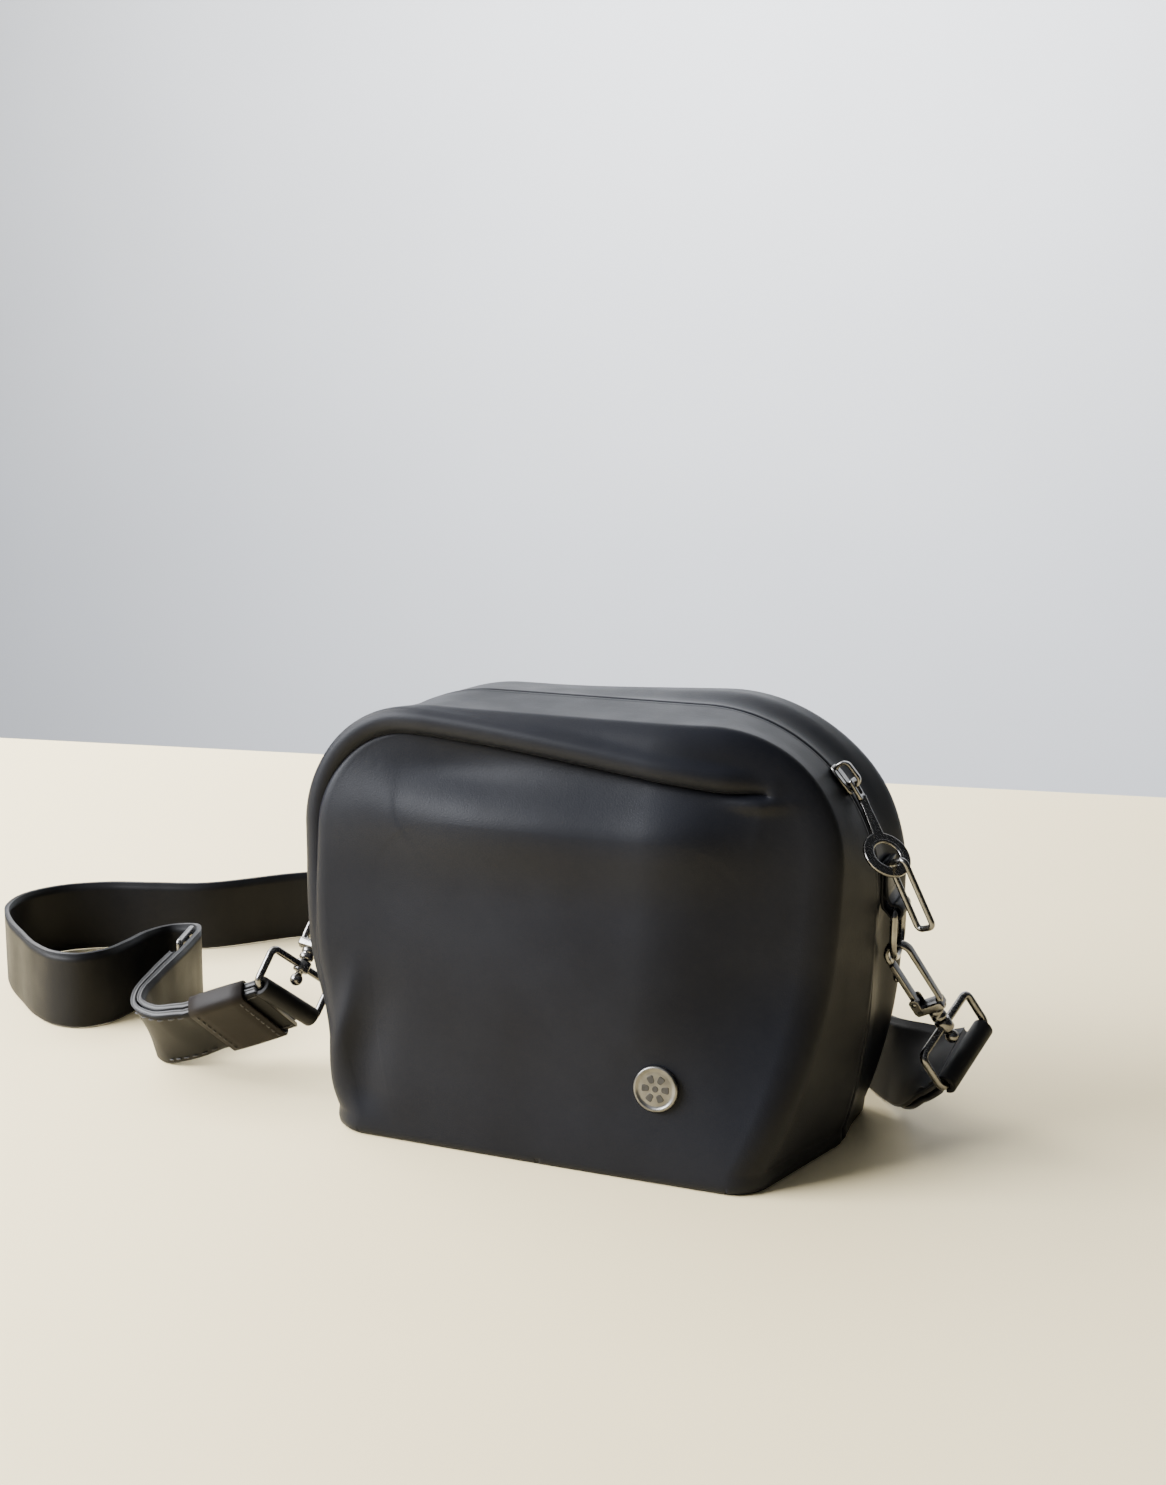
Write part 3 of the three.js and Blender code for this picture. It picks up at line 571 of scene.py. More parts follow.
def keeper_sleeve():
    """The leather sleeve that holds both plies together."""
    half_y = PLY / 2 + STRAP_THICK / 2 + 1.5
    half_z = STRAP_WIDTH / 2 + 1.4
    ring = even(rounded_box(-half_y, -half_z, half_y, half_z, 2.6, 8), 88, closed=True)
    profile = [(-11.6, -0.5), (-12, 0), (-11.6, 0.65), (-6, 0.8), (0, 0.85), (6, 0.8),
               (11.6, 0.65), (12, 0), (11.6, -0.5), (0, -0.55)]
    verts = []
    for x, out in profile:
        for y, z in ring:
            reach = math.hypot(y / half_y, z / half_z) * half_z
            verts.append((x, y + out * (1 if y > 0 else -1) * min(1, abs(y) / half_y) ** 2,
                          z + out * z / max(reach, 1)))
    faces = grid_faces(len(profile), len(ring), around=True)
    last = (len(profile) - 1) * len(ring)
    count = len(ring)
    faces += [(last + k, k, (k + 1) % count, last + (k + 1) % count) for k in range(count)]
    slots = [int(row in (0, 7)) for row in range(len(profile) - 1) for _ in range(count)]
    place = strap_place(KEEPER_AT)
    sleeve = add_piece("keeper_sleeve", verts, faces, "keeper", "keeper", ["strap_keeper"],
                       place, ["edge"], slots + [0] * count)
    one = stitch(2.4)
    rows = []
    for x in (-9.6, 9.6):
        for k in range(8):
            z = -13.5 + 27 * k / 7
            for side in (-1, 1):
                spot = Matrix.Translation((x, side * (half_y + 0.62), z))
                spot = spot @ Matrix.Rotation(-side * math.pi / 2, 4, "X")
                rows.append(moved(one, place @ spot @ Matrix.Rotation(math.pi / 2, 4, "Z")))
    stitches = add_piece("keeper_stitches", *merged(*rows), "thread", "keeper")
    return [sleeve, stitches]


def adjuster_frame():
    """A flat metal frame with a centre bar, in line with the strap's doubled end."""
    high = STRAP_WIDTH / 2 + 2.8
    outer = rounded_box(-12, -high, 12, high, 2.4)
    slots = [rounded_box(x0, 3 - high, x1, high - 3, 1.2) for x0, x1 in ((-9.4, -1.7), (1.7, 9.4))]
    place = strap_place(ADJUSTER_AT, -PLY / 2)
    part = moved(plate([outer, *slots], 2.2, 0.7), place @ FACE_UP)
    return add_piece("adjuster_frame", *part, "gunmetal", "adjuster", ["strap_adjuster"])


def strap_ply(name, node, shift, start, end, stations):
    verts, faces, slots = strap_band(shift, start, end, stations)
    return add_piece(name, verts, faces, "strap", "root", [node], looks=["edge"], slots=slots)


def add_strap():
    main = strap_ply("strap", "strap_main", PLY / 2, 0, 1, STATIONS)
    tail = strap_ply("strap_tail", "strap_tail_left", -PLY / 2, 0, TAIL_TO, 110)
    hem = strap_ply("strap_hem", "strap_tail_right", -PLY / 2, HEM_FROM, 1, 36)
    folds = [strap_fold("right", -strap_heading(1)), strap_fold("left", strap_heading(0))]
    on_it = [tail, hem, *folds, strap_stitches(), *keeper_sleeve(), adjuster_frame(),
             *[strap_loop(label) for label in SIDES]]
    path = [tuple(strap_place(i / 399, PLY / 2).translation * MM) for i in range(400)]


# ---- Metalwork ----
def strap_loop(label):
    hung = HUNG[label]
    half = LOOP["half"]
    line = rounded_box(-half, 0, half, -LOOP["depth"], LOOP["corner"], 8)
    line = even(line, 120, closed=True)
    wire = tube([(x, 0, z) for x, z in line], LOOP["wire"], closed=True, sides=14)
    collar = lathe([(1.7, -2.3), (2.8, -2.3), (3.1, -1.9), (3.1, 1.9), (2.8, 2.3), (1.7, 2.3)])
    place = aimed(hung["loop"], -hung["along"], hung["width"])
    part = moved(merged(wire, collar), place)
    return add_piece(f"loop_{label}", *part, "gunmetal", "root", [f"strap_loop_{label}"])


def d_ring(label):
    side = SIDES[label]["side"]
    radius = RING["radius"]
    corners = [(-radius, radius), (radius, radius)] + arc(0, 0, radius, 0, -180, 24)
    line = even(rounded(corners, 1.4), 110, closed=True)
    wire = tube([(0, y, z) for y, z in line], RING["wire"], closed=True, sides=14)
    place = Matrix.Translation((side * RING["x"], RING["y"], RING["z"]))
    return add_piece(f"d_ring_{label}", *moved(wire, place), "gunmetal", f"ring_{label}",
                     [f"ring_{label}"])


def snap_hook(label):
    hung = HUNG[label]
    place = aimed(hung["loop"], -hung["along"], hung["outward"])
    eye, inner, outer = HOOK["eye"], HOOK["inner"], HOOK["outer"]
    outline = [(-4.6, 7), (4.6, 7), (outer - 0.4, 11)] + arc(0, eye, outer, 0, 180, 24)
    outline += [(-outer, eye - 2), (-inner, eye - 2)] + arc(0, eye, inner, 180, 0, 20)
    outline += [(inner, 12.5), (inner - 0.9, 10.8), (-4.6, 10.8)]
    blade = moved(plate([outline], HOOK["thick"], 1.1, 4), FACE_UP)
    x, z = HOOK["pivot"]
    ear = rounded_box(-6.4, 8, -2.8, 14.8, 1.6)
    ears = [moved(plate([ear], 0.8, 0.3), Matrix.Translation((0, y, 0)) @ FACE_UP) for y in (-2.9, 2.9)]
    cheek = rounded_box(-6.4, -3.3, 5, 3.3, 1.5)
    cheeks = moved(plate([cheek], 3.4, 0.8), Matrix.Translation((0, 0, 9.1)))
    pin = lathe([(0.3, -3.6), (0.9, -3.4), (0.9, 3.4), (0.3, 3.6)], 16)
    pin = moved(pin, Matrix.Translation((x, 0, z)) @ FACE_UP)
    collar = lathe([(1.5, 2.8), (2.5, 2.9), (2.9, 3.3), (2.9, 4.6), (2.3, 5.1), (2.9, 5.6),
                    (2.9, 7.1), (2.4, 7.6)])
    shank = lathe([(1.4, -4), (1.4, 4)], 20)
    ball = lathe([(2.5 * math.sin(math.pi * k / 12) + 0.01, -5.6 - 2.5 * math.cos(math.pi * k / 12))
                  for k in range(13)])
    part = moved(merged(blade, *ears, cheeks, pin, collar, shank, ball), place)
    add_piece(f"snap_hook_{label}", *part, "gunmetal", f"hook_{label}", [f"hook_{label}"])
    top = eye - 2.4 - z
    lever = moved(plate([rounded_box(-1, -1.6, 1, top, 0.7)], 3.9, 0.5), FACE_UP)
    knob_place = Matrix.Translation((0, 0, 11)) @ Matrix.Rotation(math.pi / 2, 4, "Y")
    knob = moved(lathe([(0.7, -2.6), (1.3, -2.2), (1.5, -1.5), (1.2, -1.1)], 20), knob_place)
    gate = moved(merged(lever, knob), place @ Matrix.Translation((x, 0, z)))
    add_piece(f"gate_{label}", *gate, "gunmetal", f"gate_{label}", [f"hook_gate_{label}"])


def ribbon(line, width, thick, count=90):
    """A strip along a line in XZ, with its width along Y and soft long edges."""
    line = even(line, count)
    ahead = np.gradient(line, axis=0)
    ahead /= np.linalg.norm(ahead, axis=1)[:, None]
    normal = np.stack([ahead[:, 1], -ahead[:, 0]], 1)
    half, t = width / 2, thick / 2
    section = [(-t, -half + 0.5), (-t * 0.6, -half), (t * 0.6, -half), (t, -half + 0.5),
               (t, 0), (t, half - 0.5), (t * 0.6, half), (-t * 0.6, half), (-t, half - 0.5), (-t, 0)]
    verts = []
    for (x, z), (nx, nz) in zip(line, normal):
        verts += [(x + nx * out, y, z + nz * out) for out, y in section]
    return verts, capped(count, len(section))


def ring_tab(label):
    """A leather strip folded round the ring's bar and sewn to the bag's side."""
    side = SIDES[label]["side"]
    place = Matrix.Translation((side * ZIP_ARCH["half"], RING["y"], RING["z"] + RING["radius"]))
    if side < 0:
        place = place @ Matrix.Rotation(math.pi, 4, "Z")
    reach = RING["x"] - ZIP_ARCH["half"]
    wrap = arc(reach, 0, 2.45, 118, -160, 26)
    line = [(2.3, 17.6), (2.4, 10), (2.9, 5.4), (3.9, 3.2)] + wrap + [(1.6, 1.2), (1.0, 5), (0.9, 17.4)]
    add_piece(f"tab_{label}", *ribbon(line, 15, 1.2), "leather", "root", [f"ring_tab_{label}"], place)
    one = stitch(2.2, 0.3)
    rows = []
    for z in (7.2, 15.6):
        for k in range(5):
            spot = Matrix.Translation((2.95, -5.2 + 2.6 * k, z)) @ Matrix.Rotation(math.pi / 2, 4, "Y")
            rows.append(moved(one, spot @ Matrix.Rotation(math.pi / 2, 4, "Z")))
    add_piece(f"tab_stitches_{label}", *merged(*rows), "thread", "root", (), place)


def along_track(angle, x, y, z):
    """A place whose X points down along the zip track and whose Z points out from it."""
    turn = Matrix.Rotation(math.pi / 2 - math.radians(angle), 4, "Y")
    return Matrix.Translation((x, y, z)) @ turn


def slider_place():
    """Where the slider sits, on the round shoulder of the track."""
    angle = math.radians(SLIDER_ANGLE)
    radius = ZIP_ARCH["radius"]
    middle = ZIP_ARCH["half"] - radius
    x = middle + radius * math.cos(angle)
    z = ZIP_ARCH["height"] - radius + radius * math.sin(angle)
    return along_track(SLIDER_ANGLE, x, ZIP_Y, z)


def zip_slider(track):
    """The slider's top plate with its bridge."""
    top = rounded([(-6, -3.2), (-2, -4.5), (6, -3.6), (6, 3.6), (-2, 4.5), (-6, 3.2)], 1.6)
    top = moved(plate([top], 1.3, 0.4), Matrix.Translation((0, 0, 1.75)))
    arch = rounded([(-5.5, 2), (-5.5, 5.4), (-3.6, 7.4), (3.4, 7.4), (5.2, 5.4), (5.2, 2)], 1.2)
    gap = rounded([(-4, 2.6), (-4, 5.0), (-3.0, 6.0), (2.9, 6.0), (3.8, 5.0), (3.8, 2.6)], 0.8)
    bridge = moved(plate([arch, gap], 2.4, 0.5), FACE_UP)
    add_piece("slider", *moved(merged(top, bridge), track), "gunmetal", "zip_slider", ["zip_slider"])


def zip_puller(track):
    """The eye on the slider's bridge and the flat ring below it; returns the ring's own place."""
    hinge = track @ Vector((2.3, 0, 4.1))
    eye_place = along_track(PULLER["angle"], hinge.x, ZIP_Y, hinge.z)
    end = PULLER["eye"] + 0.8
    eye = rounded([(-0.7, -3.4), (end, -3.0), (end, 3.0), (-0.7, 3.4)], 1.1)
    hole = rounded([(0.8, -1.8), (5.6, -1.6), (5.6, 1.6), (0.8, 1.8)], 0.6)
    eye = moved(plate([eye, hole], PULLER["thick"], 0.4), eye_place)
    neck_at = eye_place @ Vector((PULLER["eye"], 0, 0))
    reach = PULL_RING - neck_at
    facing = basis(neck_at, reach, PULL_FACING)
    long = reach.length
    outer, inner = PULLER["outer"], PULLER["inner"]
    join = math.degrees(math.asin(2.2 / outer))
    outline = [(-0.6, 1.9), (-0.6, -1.9), (4, -1.7)]
    outline += arc(long, 0, outer, join - 180, 180 - join, 60) + [(4, 1.7)]
    body = moved(plate([outline, arc(long, 0, inner, 0, -354, 59)], PULLER["thick"], 0.5), facing)
    lip = [(x, y, 0) for x, y in arc(long, 0, inner + 0.35, 0, 354, 59)]
    rim = moved(tube(lip, 0.85, closed=True), facing)
    add_piece("puller", *merged(eye, body, rim), "gunmetal", "zip_puller", ["zip_puller"])
    return facing


def pull_link(facing):
    """The wire link that hangs in the puller's ring."""
    normal = facing.to_3x3().col[2]
    away = LINK["end"] - PULL_RING
    in_plane = (away - normal * away.dot(normal)).normalized()
    near = PULL_RING + in_plane * (PULLER["outer"] + PULLER["inner"]) / 2
    near = near - (LINK["end"] - near).normalized() * LINK["hold"]
    run = LINK["end"] - near
    line = rounded_box(0, -LINK["half"], run.length, LINK["half"], 2.2, 8)
    line = even(line, 110, closed=True)
    wire = tube([(x, 0, z) for x, z in line], LINK["wire"], closed=True)
    place = basis(near, run, normal)
    add_piece("pull_link", *moved(wire, place), "gunmetal", "zip_puller", ["puller_link"])


# ---- The two halves of the bag ----
# How many points each stretch of an arch has: foot, side, shoulder, top and back down.
STRETCHES = (5, 90, 80, 96, 80, 90, 5)


def arch_line(arch, inset, density=1.0, low=0.5):
    """The arch's outline, from the right foot over the top to the left foot."""
    base, half = arch["base"] - inset, arch["half"] - inset
    top = arch["height"] - inset
    radius = np.maximum(arch["radius"] - inset, 5)
    shoulder = top - radius
    flat = half - radius
    steps = [max(3, int(n * density)) for n in STRETCHES]
    u = [np.linspace(0, 1, n, endpoint=False) for n in steps]
    turn = u[2] * math.pi / 2
    down = u[4] * math.pi / 2
    back = 1 - u[5]

    def side(t):
        x = base * (1 - t) ** 2 + half * 2 * t * (1 - t) + half * t * t
        z = 7 * (1 - t) ** 2 + 0.4 * shoulder * 2 * t * (1 - t) + shoulder * t * t
        return x, z

    right, left = side(u[1]), side(back)
    end = np.append(1 - u[6], 0)
    x = [np.full(steps[0], base), right[0], flat + radius * np.cos(turn), flat * (1 - 2 * u[3]),
         -flat - radius * np.sin(down), -left[0], np.full(len(end), -base)]
    z = [low + (7 - low) * u[0], right[1], shoulder + radius * np.sin(turn),
         np.full(steps[3], top), shoulder + radius * np.cos(down), left[1], low + (7 - low) * end]
    return np.concatenate(x), np.concatenate(z)


def edge_inset(half, share, inset):
    """How far the outline draws in where a half rounds over from its side to its face."""
    along = max(0.0, (share - (1 - half["share"])) / half["share"])
    return max(half["edge"] - inset, 3) * (1 - math.sqrt(max(0.0, 1 - along * along)))


FALL_BACK = 0.36  # share of the front's depth by which its right side falls back
LEFT_PUSH = 2.4
FOOT_FLARE = 2.6
BACK_FILL = 5.4
BACK_RISE = 3.6


def soften(points, half):
    """The front falls back towards its right side, and the back fills out at the right."""
    x, y, z = (points[..., k] for k in range(3))
    depth = (y - ZIP_Y) * half["side"] / half["depth"]
    if half is FRONT:
        y += FALL_BACK * half["depth"] * depth * smooth_step(x, 32, 98) * smooth_step(z, 2, 76)
        left = smooth_step(-x, 30, 90) * smooth_step(depth, 0.2, 0.9)
        corner = np.exp(-((x + 88) / 30) ** 2 - ((z - 140) / 26) ** 2) * smooth_step(depth, 0.2, 0.8)
        push = LEFT_PUSH * smooth_step(z, 20, 90) + FOOT_FLARE * np.exp(-(z / 16) ** 2)
        x -= left * push + 2.0 * corner
        z += 2.4 * corner + 1.2 * smooth_step(z, 120, 154) * smooth_step(depth, 0.3, 0.9)
    else:
        right = smooth_step(x, 20, 90) * smooth_step(depth, 0.3, 0.85)
        x += BACK_FILL * right * smooth_step(z, -30, 60) * (1 - 0.6 * smooth_step(z, 120, 160))
        pressed = np.exp(-((z - RING["z"] + 6) / 18) ** 2 - ((y - RING["y"] + 4) / 12) ** 2)
        x -= 1.2 * np.sign(x) * pressed
        rise = smooth_step(x, -30, 70) * smooth_step(depth, 0.13, 0.55) * smooth_step(z, 60, 150)
        z += BACK_RISE * rise


def half_grid(half, inset, rows, faces, density=1.0):
    """Points of a half: rows are (share, extra inset), then rings shrink over the face."""
    grid, shares = [], []
    for share, extra in rows:
        arch = {k: ZIP_ARCH[k] + (half["arch"][k] - ZIP_ARCH[k]) * max(share, 0) for k in ZIP_ARCH}
        x, z = arch_line(arch, inset + extra + edge_inset(half, share, inset), density)
        grid.append((x, z))
        shares.append(share)
    x, z = grid[-1]
    for k in faces:
        grid.append((x * k, 0.5 + (z - 0.5) * k))
        shares.append(1.0)
    points = []
    for (x, z), share in zip(grid, shares):
        depth = half["depth"] - inset - half["lean"] * z / ZIP_ARCH["height"]
        y = ZIP_Y + half["side"] * share * depth
        points.append(np.stack([x, y, z], 1))
    points = np.array(points)
    soften(points, half)
    turned = FOOT * (1 - np.sqrt(np.clip(1 - ((FOOT - points[..., 2]) / FOOT) ** 2, 0, 1)))
    turned = np.where(points[..., 2] < FOOT, turned, 0) * (inset == 0)
    share = np.array(shares)[:, None]
    points[..., 0] -= np.sign(points[..., 0]) * turned * (share < 0.999)
    points[..., 1] -= half["side"] * turned * np.clip((share - 0.8) / 0.2, 0, 1)
    return points, np.array(shares)


def grid_normals(points, side):
    """Unit normals of a half's grid, pointing out of the bag."""
    across = np.gradient(points, axis=1)
    along = np.gradient(points, axis=0)
    normal = np.cross(across, along)
    normal /= np.maximum(np.linalg.norm(normal, axis=2, keepdims=True), 1e-9)
    sign = np.sign(np.mean(normal[-20:, :, 1]) * side)
    return normal * sign


def smooth_step(value, low, high):
    t = np.clip((value - low) / (high - low), 0, 1)
    return t * t * (3 - 2 * t)


def swell(points, places):
    """Soft swellings and hollows on a face, each (x, z, reach x, reach z, height)."""
    total = np.zeros(points.shape[:2])
    for x, z, wide, tall, height in places:
        gap = ((points[..., 0] - x) / wide) ** 2 + ((points[..., 2] - z) / tall) ** 2
        total += height * np.exp(-gap)
    return total


# The fold in the front: it climbs the left flank, rounds the corner and falls across the front
# under a rolled brow to a pinch. All are (x, z); "turn" is how far the corner's curve reaches.
FOLD = {"foot": (-80, 6), "corner": (-62, 112), "turn": (32.4, 37), "pinch": (71, 134.2)}
# How strong each part of the fold is, where it lies across the line (above is negative) and how
# wide it is. The panel below is set back behind the brow and comes forward again within "reach".
GROOVE = {"deep": 5.0, "at": 0.5, "wide": 1.6}
BROW = {"high": 2.9, "at": -3.4, "wide": 3.0, "roll": 0.7}
SET_BACK = {"deep": 6.8, "reach": 17}
PINCH_LIP = {"x": 69, "z": 131, "wide": 9, "tall": 2.4, "high": 2.3}
CREASE = {"x": -74, "bow": 7, "z": 22, "over": 1.9, "beside": 1.8, "flank": 3.0}
FRONT_SWELLS = [
    (-42, 134, 30, 9, -3.0), (-8, 116, 58, 13, 5.4), (46, 119, 20, 13, 2.8),
    (0, 66, 60, 36, 1.6), (-62, 96, 18, 30, -1.0), (20, 10, 60, 12, 0.6),
]
BACK_SWELLS = [(0, 70, 70, 45, 2.0), (-60, 120, 30, 20, -1.2), (50, 118, 26, 16, -1.0)]


def bezier(start, control, end, steps=60):
    """A quadratic curve from start to end."""
    t = np.linspace(0, 1, steps)[:, None]
    start, control, end = (np.array(point, float) for point in (start, control, end))
    return start * (1 - t) ** 2 + control * 2 * t * (1 - t) + end * t * t


def fold_line(count=1600):
    """Evenly spaced points of the fold, x and z, from its foot to the pinch."""
    x, z = FOLD["corner"]
    wide, tall = FOLD["turn"]
    bend = np.linspace(0, math.pi / 2, 60)
    flank = bezier(FOLD["foot"], (x - wide, z / 2), (x - wide, z))
    corner = np.stack([x - wide * np.cos(bend), z + tall * np.sin(bend)], 1)
    across = bezier((x, z + tall), (x + 22, z + tall), FOLD["pinch"])
    return even(np.vstack([flank, corner[1:-1], across]), count)


def fold_sizes(count=1600):
    """Groove, brow and set-back along the fold: they grow from the foot and fade at the pinch."""
    t = np.linspace(0, 1, count)
    groove = GROOVE["deep"] * smooth_step(t, 0, 0.85) * (1 - 0.45 * smooth_step(t, 0.96, 1))
    brow = BROW["high"] * smooth_step(t, 0.05, 0.8) * (1 - 0.8 * smooth_step(t, 0.95, 1))
    fade = 1 - np.clip((t - 0.7) / 0.3, 0, 1) ** 3
    return np.stack([groove, brow, SET_BACK["deep"] * smooth_step(t, 0.27, 0.68) * fade], 1)


def fold_field(points, shares):
    """Distance from the fold (positive below it), its sizes there and the way into the panel."""
    line = fold_line()
    # the fold lies as deep as the leather around it
    near = KDTree(int(np.sum(shares > 0.7)) * points.shape[1])
    rim = points[shares > 0.7].reshape(-1, 3)
    for i, (x, _, z) in enumerate(rim):
        near.insert((x, 0, z), i)
    near.balance()
    fold = KDTree(len(line))
    for i, (x, z) in enumerate(line):
        close = near.find_n((x, 0, z), 4)
        weights = [1 / (gap + 0.05) for _, _, gap in close]
        y = sum(w * rim[k][1] for w, (_, k, _) in zip(weights, close)) / sum(weights)
        fold.insert((x, y, z), i)
    fold.balance()
    every = points.reshape(-1, 3)
    found = [fold.find(spot) for spot in every]
    nearest = np.array([entry[1] for entry in found])
    gaps = np.array([entry[2] for entry in found])
    ahead = np.gradient(line, axis=0)
    ahead /= np.linalg.norm(ahead, axis=1)[:, None]
    out = every[:, [0, 2]] - line[nearest]
    side = ahead[nearest][:, 1] * out[:, 0] - ahead[nearest][:, 0] * out[:, 1]
    shape = points.shape[:2]
    signed = (gaps * np.where(side > 0, 1, -1)).reshape(shape)
    sizes = fold_sizes()[nearest].reshape(*shape, 3)
    inward = np.zeros((len(every), 3))
    inward[:, 0] = ahead[nearest][:, 1]
    inward[:, 2] = -ahead[nearest][:, 0]
    return signed, sizes, inward.reshape(*shape, 3)


def crease_height(points):
    """The soft vertical crease at the bottom left and the flank that falls away from it."""
    x, z = points[..., 0], points[..., 2]
    ridge = CREASE["x"] - CREASE["bow"] * np.exp(-((z - CREASE["z"]) / 26) ** 2)
    strength = smooth_step(z, 4, 18) * (1 - smooth_step(z, 32, 70))
    over = np.exp(-((x - ridge) / 4.4) ** 2)
    beside = np.exp(-((x - ridge - 12) / 8) ** 2)
    flank = np.clip(ridge - x, 0, 14) / 14
    return strength * (CREASE["over"] * over - CREASE["beside"] * beside - CREASE["flank"] * flank)


def fold_front(points, shares, normals):
    """How far each point of the front moves: the fold, the sag and the soft left crease."""
    signed, sizes, inward = fold_field(points, shares)
    groove, brow, back = sizes[..., 0], sizes[..., 1], sizes[..., 2]
    height = -groove * np.exp(-((signed - GROOVE["at"]) / GROOVE["wide"]) ** 2)
    height += brow * np.exp(-((signed - BROW["at"]) / BROW["wide"]) ** 2)
    under = np.clip(signed, 0, None)
    height -= back * np.exp(-(under / SET_BACK["reach"]) ** 1.5) * (1 - np.exp(-under / 1.2))
    face = smooth_step(shares, 0.55, 0.95)[:, None]
    x, z = points[..., 0], points[..., 2]
    badge = 1 - np.exp(-(((x - BADGE["x"]) ** 2 + (z - BADGE["z"]) ** 2) / 15.0 ** 2) ** 2)
    soft = swell(points, FRONT_SWELLS) + crease_height(points)
    lip = np.hypot((x - PINCH_LIP["x"]) / PINCH_LIP["wide"], (z - PINCH_LIP["z"]) / PINCH_LIP["tall"])
    soft += PINCH_LIP["high"] * np.exp(-lip ** 2)
    height += soft * face * badge
    roll = BROW["roll"] * brow * np.exp(-((signed + 1.4) / 1.7) ** 2)
    shift = normals * height[..., None] + inward * roll[..., None]
    return np.stack([blur(shift[..., k], 2) for k in range(3)], 2)


# The leather's edge beside the zip: (distance from the zip's middle, extra inset).
ZIP_LIP = [(1.9, 3.4), (1.35, 2.5), (1.05, 1.6), (1.05, 0.9), (1.3, 0.3), (1.9, -0.1), (2.8, -0.15)]


def shell_rows(half, count, rim):
    """Rows from the turned-in edge beside the zip, over the side and round the rim."""
    lip = [(distance / half["depth"], extra) for distance, extra in ZIP_LIP]
    start, turn = 4.0 / half["depth"], 1 - half["share"]
    side = [(share, 0.0) for share in np.linspace(start, turn, count, endpoint=False)]
    bends = np.linspace(0, math.pi / 2, rim)
    return lip + side + [(turn + half["share"] * math.sin(bend), 0.0) for bend in bends]


def blur(field, times):
    """Each value becomes the mean of its four neighbours, so the fold has no sharp steps."""
    for _ in range(times):
        padded = np.pad(field, 1, mode="edge")
        field = (padded[:-2, 1:-1] + padded[2:, 1:-1] + padded[1:-1, :-2] + padded[1:-1, 2:]) / 4
    return field


LOWEST = 0.8  # the leather's outer side stays above this height


def add_sheet(name, points, look, stands_for, thick, front):
    """A half's wall from its grid of points, as a thin closed sheet."""
    rows, cols = points.shape[:2]
    points[..., 2] = np.maximum(points[..., 2], LOWEST)
    verts = [Vector(v) for v in points.reshape(-1, 3)]
    faces = grid_faces(rows, cols)
    if not front:
        faces = [tuple(reversed(face)) for face in faces]
    piece = add_piece(name, verts, faces, look, None if front else "root", stands_for)
    thicken(piece, thick)
    if front:
        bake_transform(piece)


def front_half():
    faces = list(np.linspace(0.996, 0.80, 54)) + list(np.linspace(0.785, 0.004, 58))
    points, shares = half_grid(FRONT, 0, shell_rows(FRONT, 34, 30), faces)
    normals = grid_normals(points, -1)
    normals[shares >= 1] = normals[np.argmax(shares >= 1) + 8, 300]  # the face is flat
    shift = fold_front(points, shares, normals)
    add_sheet("front_leather", points + shift, "leather", ["front_shell"], 1.1, True)


def back_half():
    faces = list(np.linspace(0.98, 0.004, 44))
    points, shares = half_grid(BACK, 0, shell_rows(BACK, 20, 14), faces, 0.5)
    normals = grid_normals(points, 1)
    face = smooth_step(shares, 0.5, 0.95)[:, None]
    height = (swell(points, BACK_SWELLS) * face)[..., None]
    add_sheet("back_leather", points + normals * height, "leather", ["back_shell"], 1.1, False)


def inner_sheets():
    """The lining and the zip tape of each half; the front lining keeps clear of the fold."""
    for label, half in (("front", FRONT), ("back", BACK)):
        front = label == "front"
        rows = [(share, 0.0) for share in np.linspace(1.6 / half["depth"], 1, 26)]
        points, shares = half_grid(half, 4.6, rows, list(np.linspace(0.97, 0.03, 30)), 0.4)
        points[..., 2] = np.maximum(points[..., 2], 6.6)
        if front:
            depth = ZIP_Y - points[..., 1]
            dent = 5.0 * np.exp(-((points[..., 2] - 141) / 12) ** 2) * (depth > 24)
            points[..., 1] += blur(dent, 3)
            points[..., 1] += 6.0 * np.clip((points[..., 0] - 46) / 48, 0, 1) ** 2 * (depth > 24)
        add_sheet(f"{label}_lining_cloth", points, "lining", [f"{label}_lining"], 0.7, front)
        rows = [(d / half["depth"], 0.0) for d in np.linspace(0.4, 11, 10)]
        points, _ = half_grid(half, 2.8, rows, [], 0.5)
        points[..., 2] = np.maximum(points[..., 2], 3.6)
        add_sheet(f"{label}_tape", points, "tape", [f"{label}_zip_tape"], 0.6, front)


def zip_coil():
    """Interlocking teeth all round the track, on both tapes."""
    x, z = arch_line(ZIP_ARCH, 2.1)
    line = np.stack([x, z], 1)
    line = line[(line[:, 1] > 9)]
    length = float(np.sum(np.linalg.norm(np.diff(line, axis=0), axis=1)))
    pitch = 1.7
    spots = even(line, int(length / pitch) * 2)
    ahead = np.gradient(spots, axis=0)
    for label, side, odd in (("front", -1, 0), ("back", 1, 1)):
        parts = []
        for (x, z), (dx, dz) in list(zip(spots, ahead))[odd::2]:
            place = basis((x, ZIP_Y, z), (dx, 0, dz), (0, side, 0))
            tooth = [(0, 0, 1.5), (0, 0.1, 0.9), (0, 0.25, 0.1), (0, 0.1, -0.55)]
            parts.append(moved(tube(tooth, 0.42, sides=6), place))
        piece = add_piece(f"{label}_teeth", *merged(*parts), "coil",
                          None if side < 0 else "root", [f"{label}_zip_teeth"])
        if side < 0:
            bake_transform(piece)


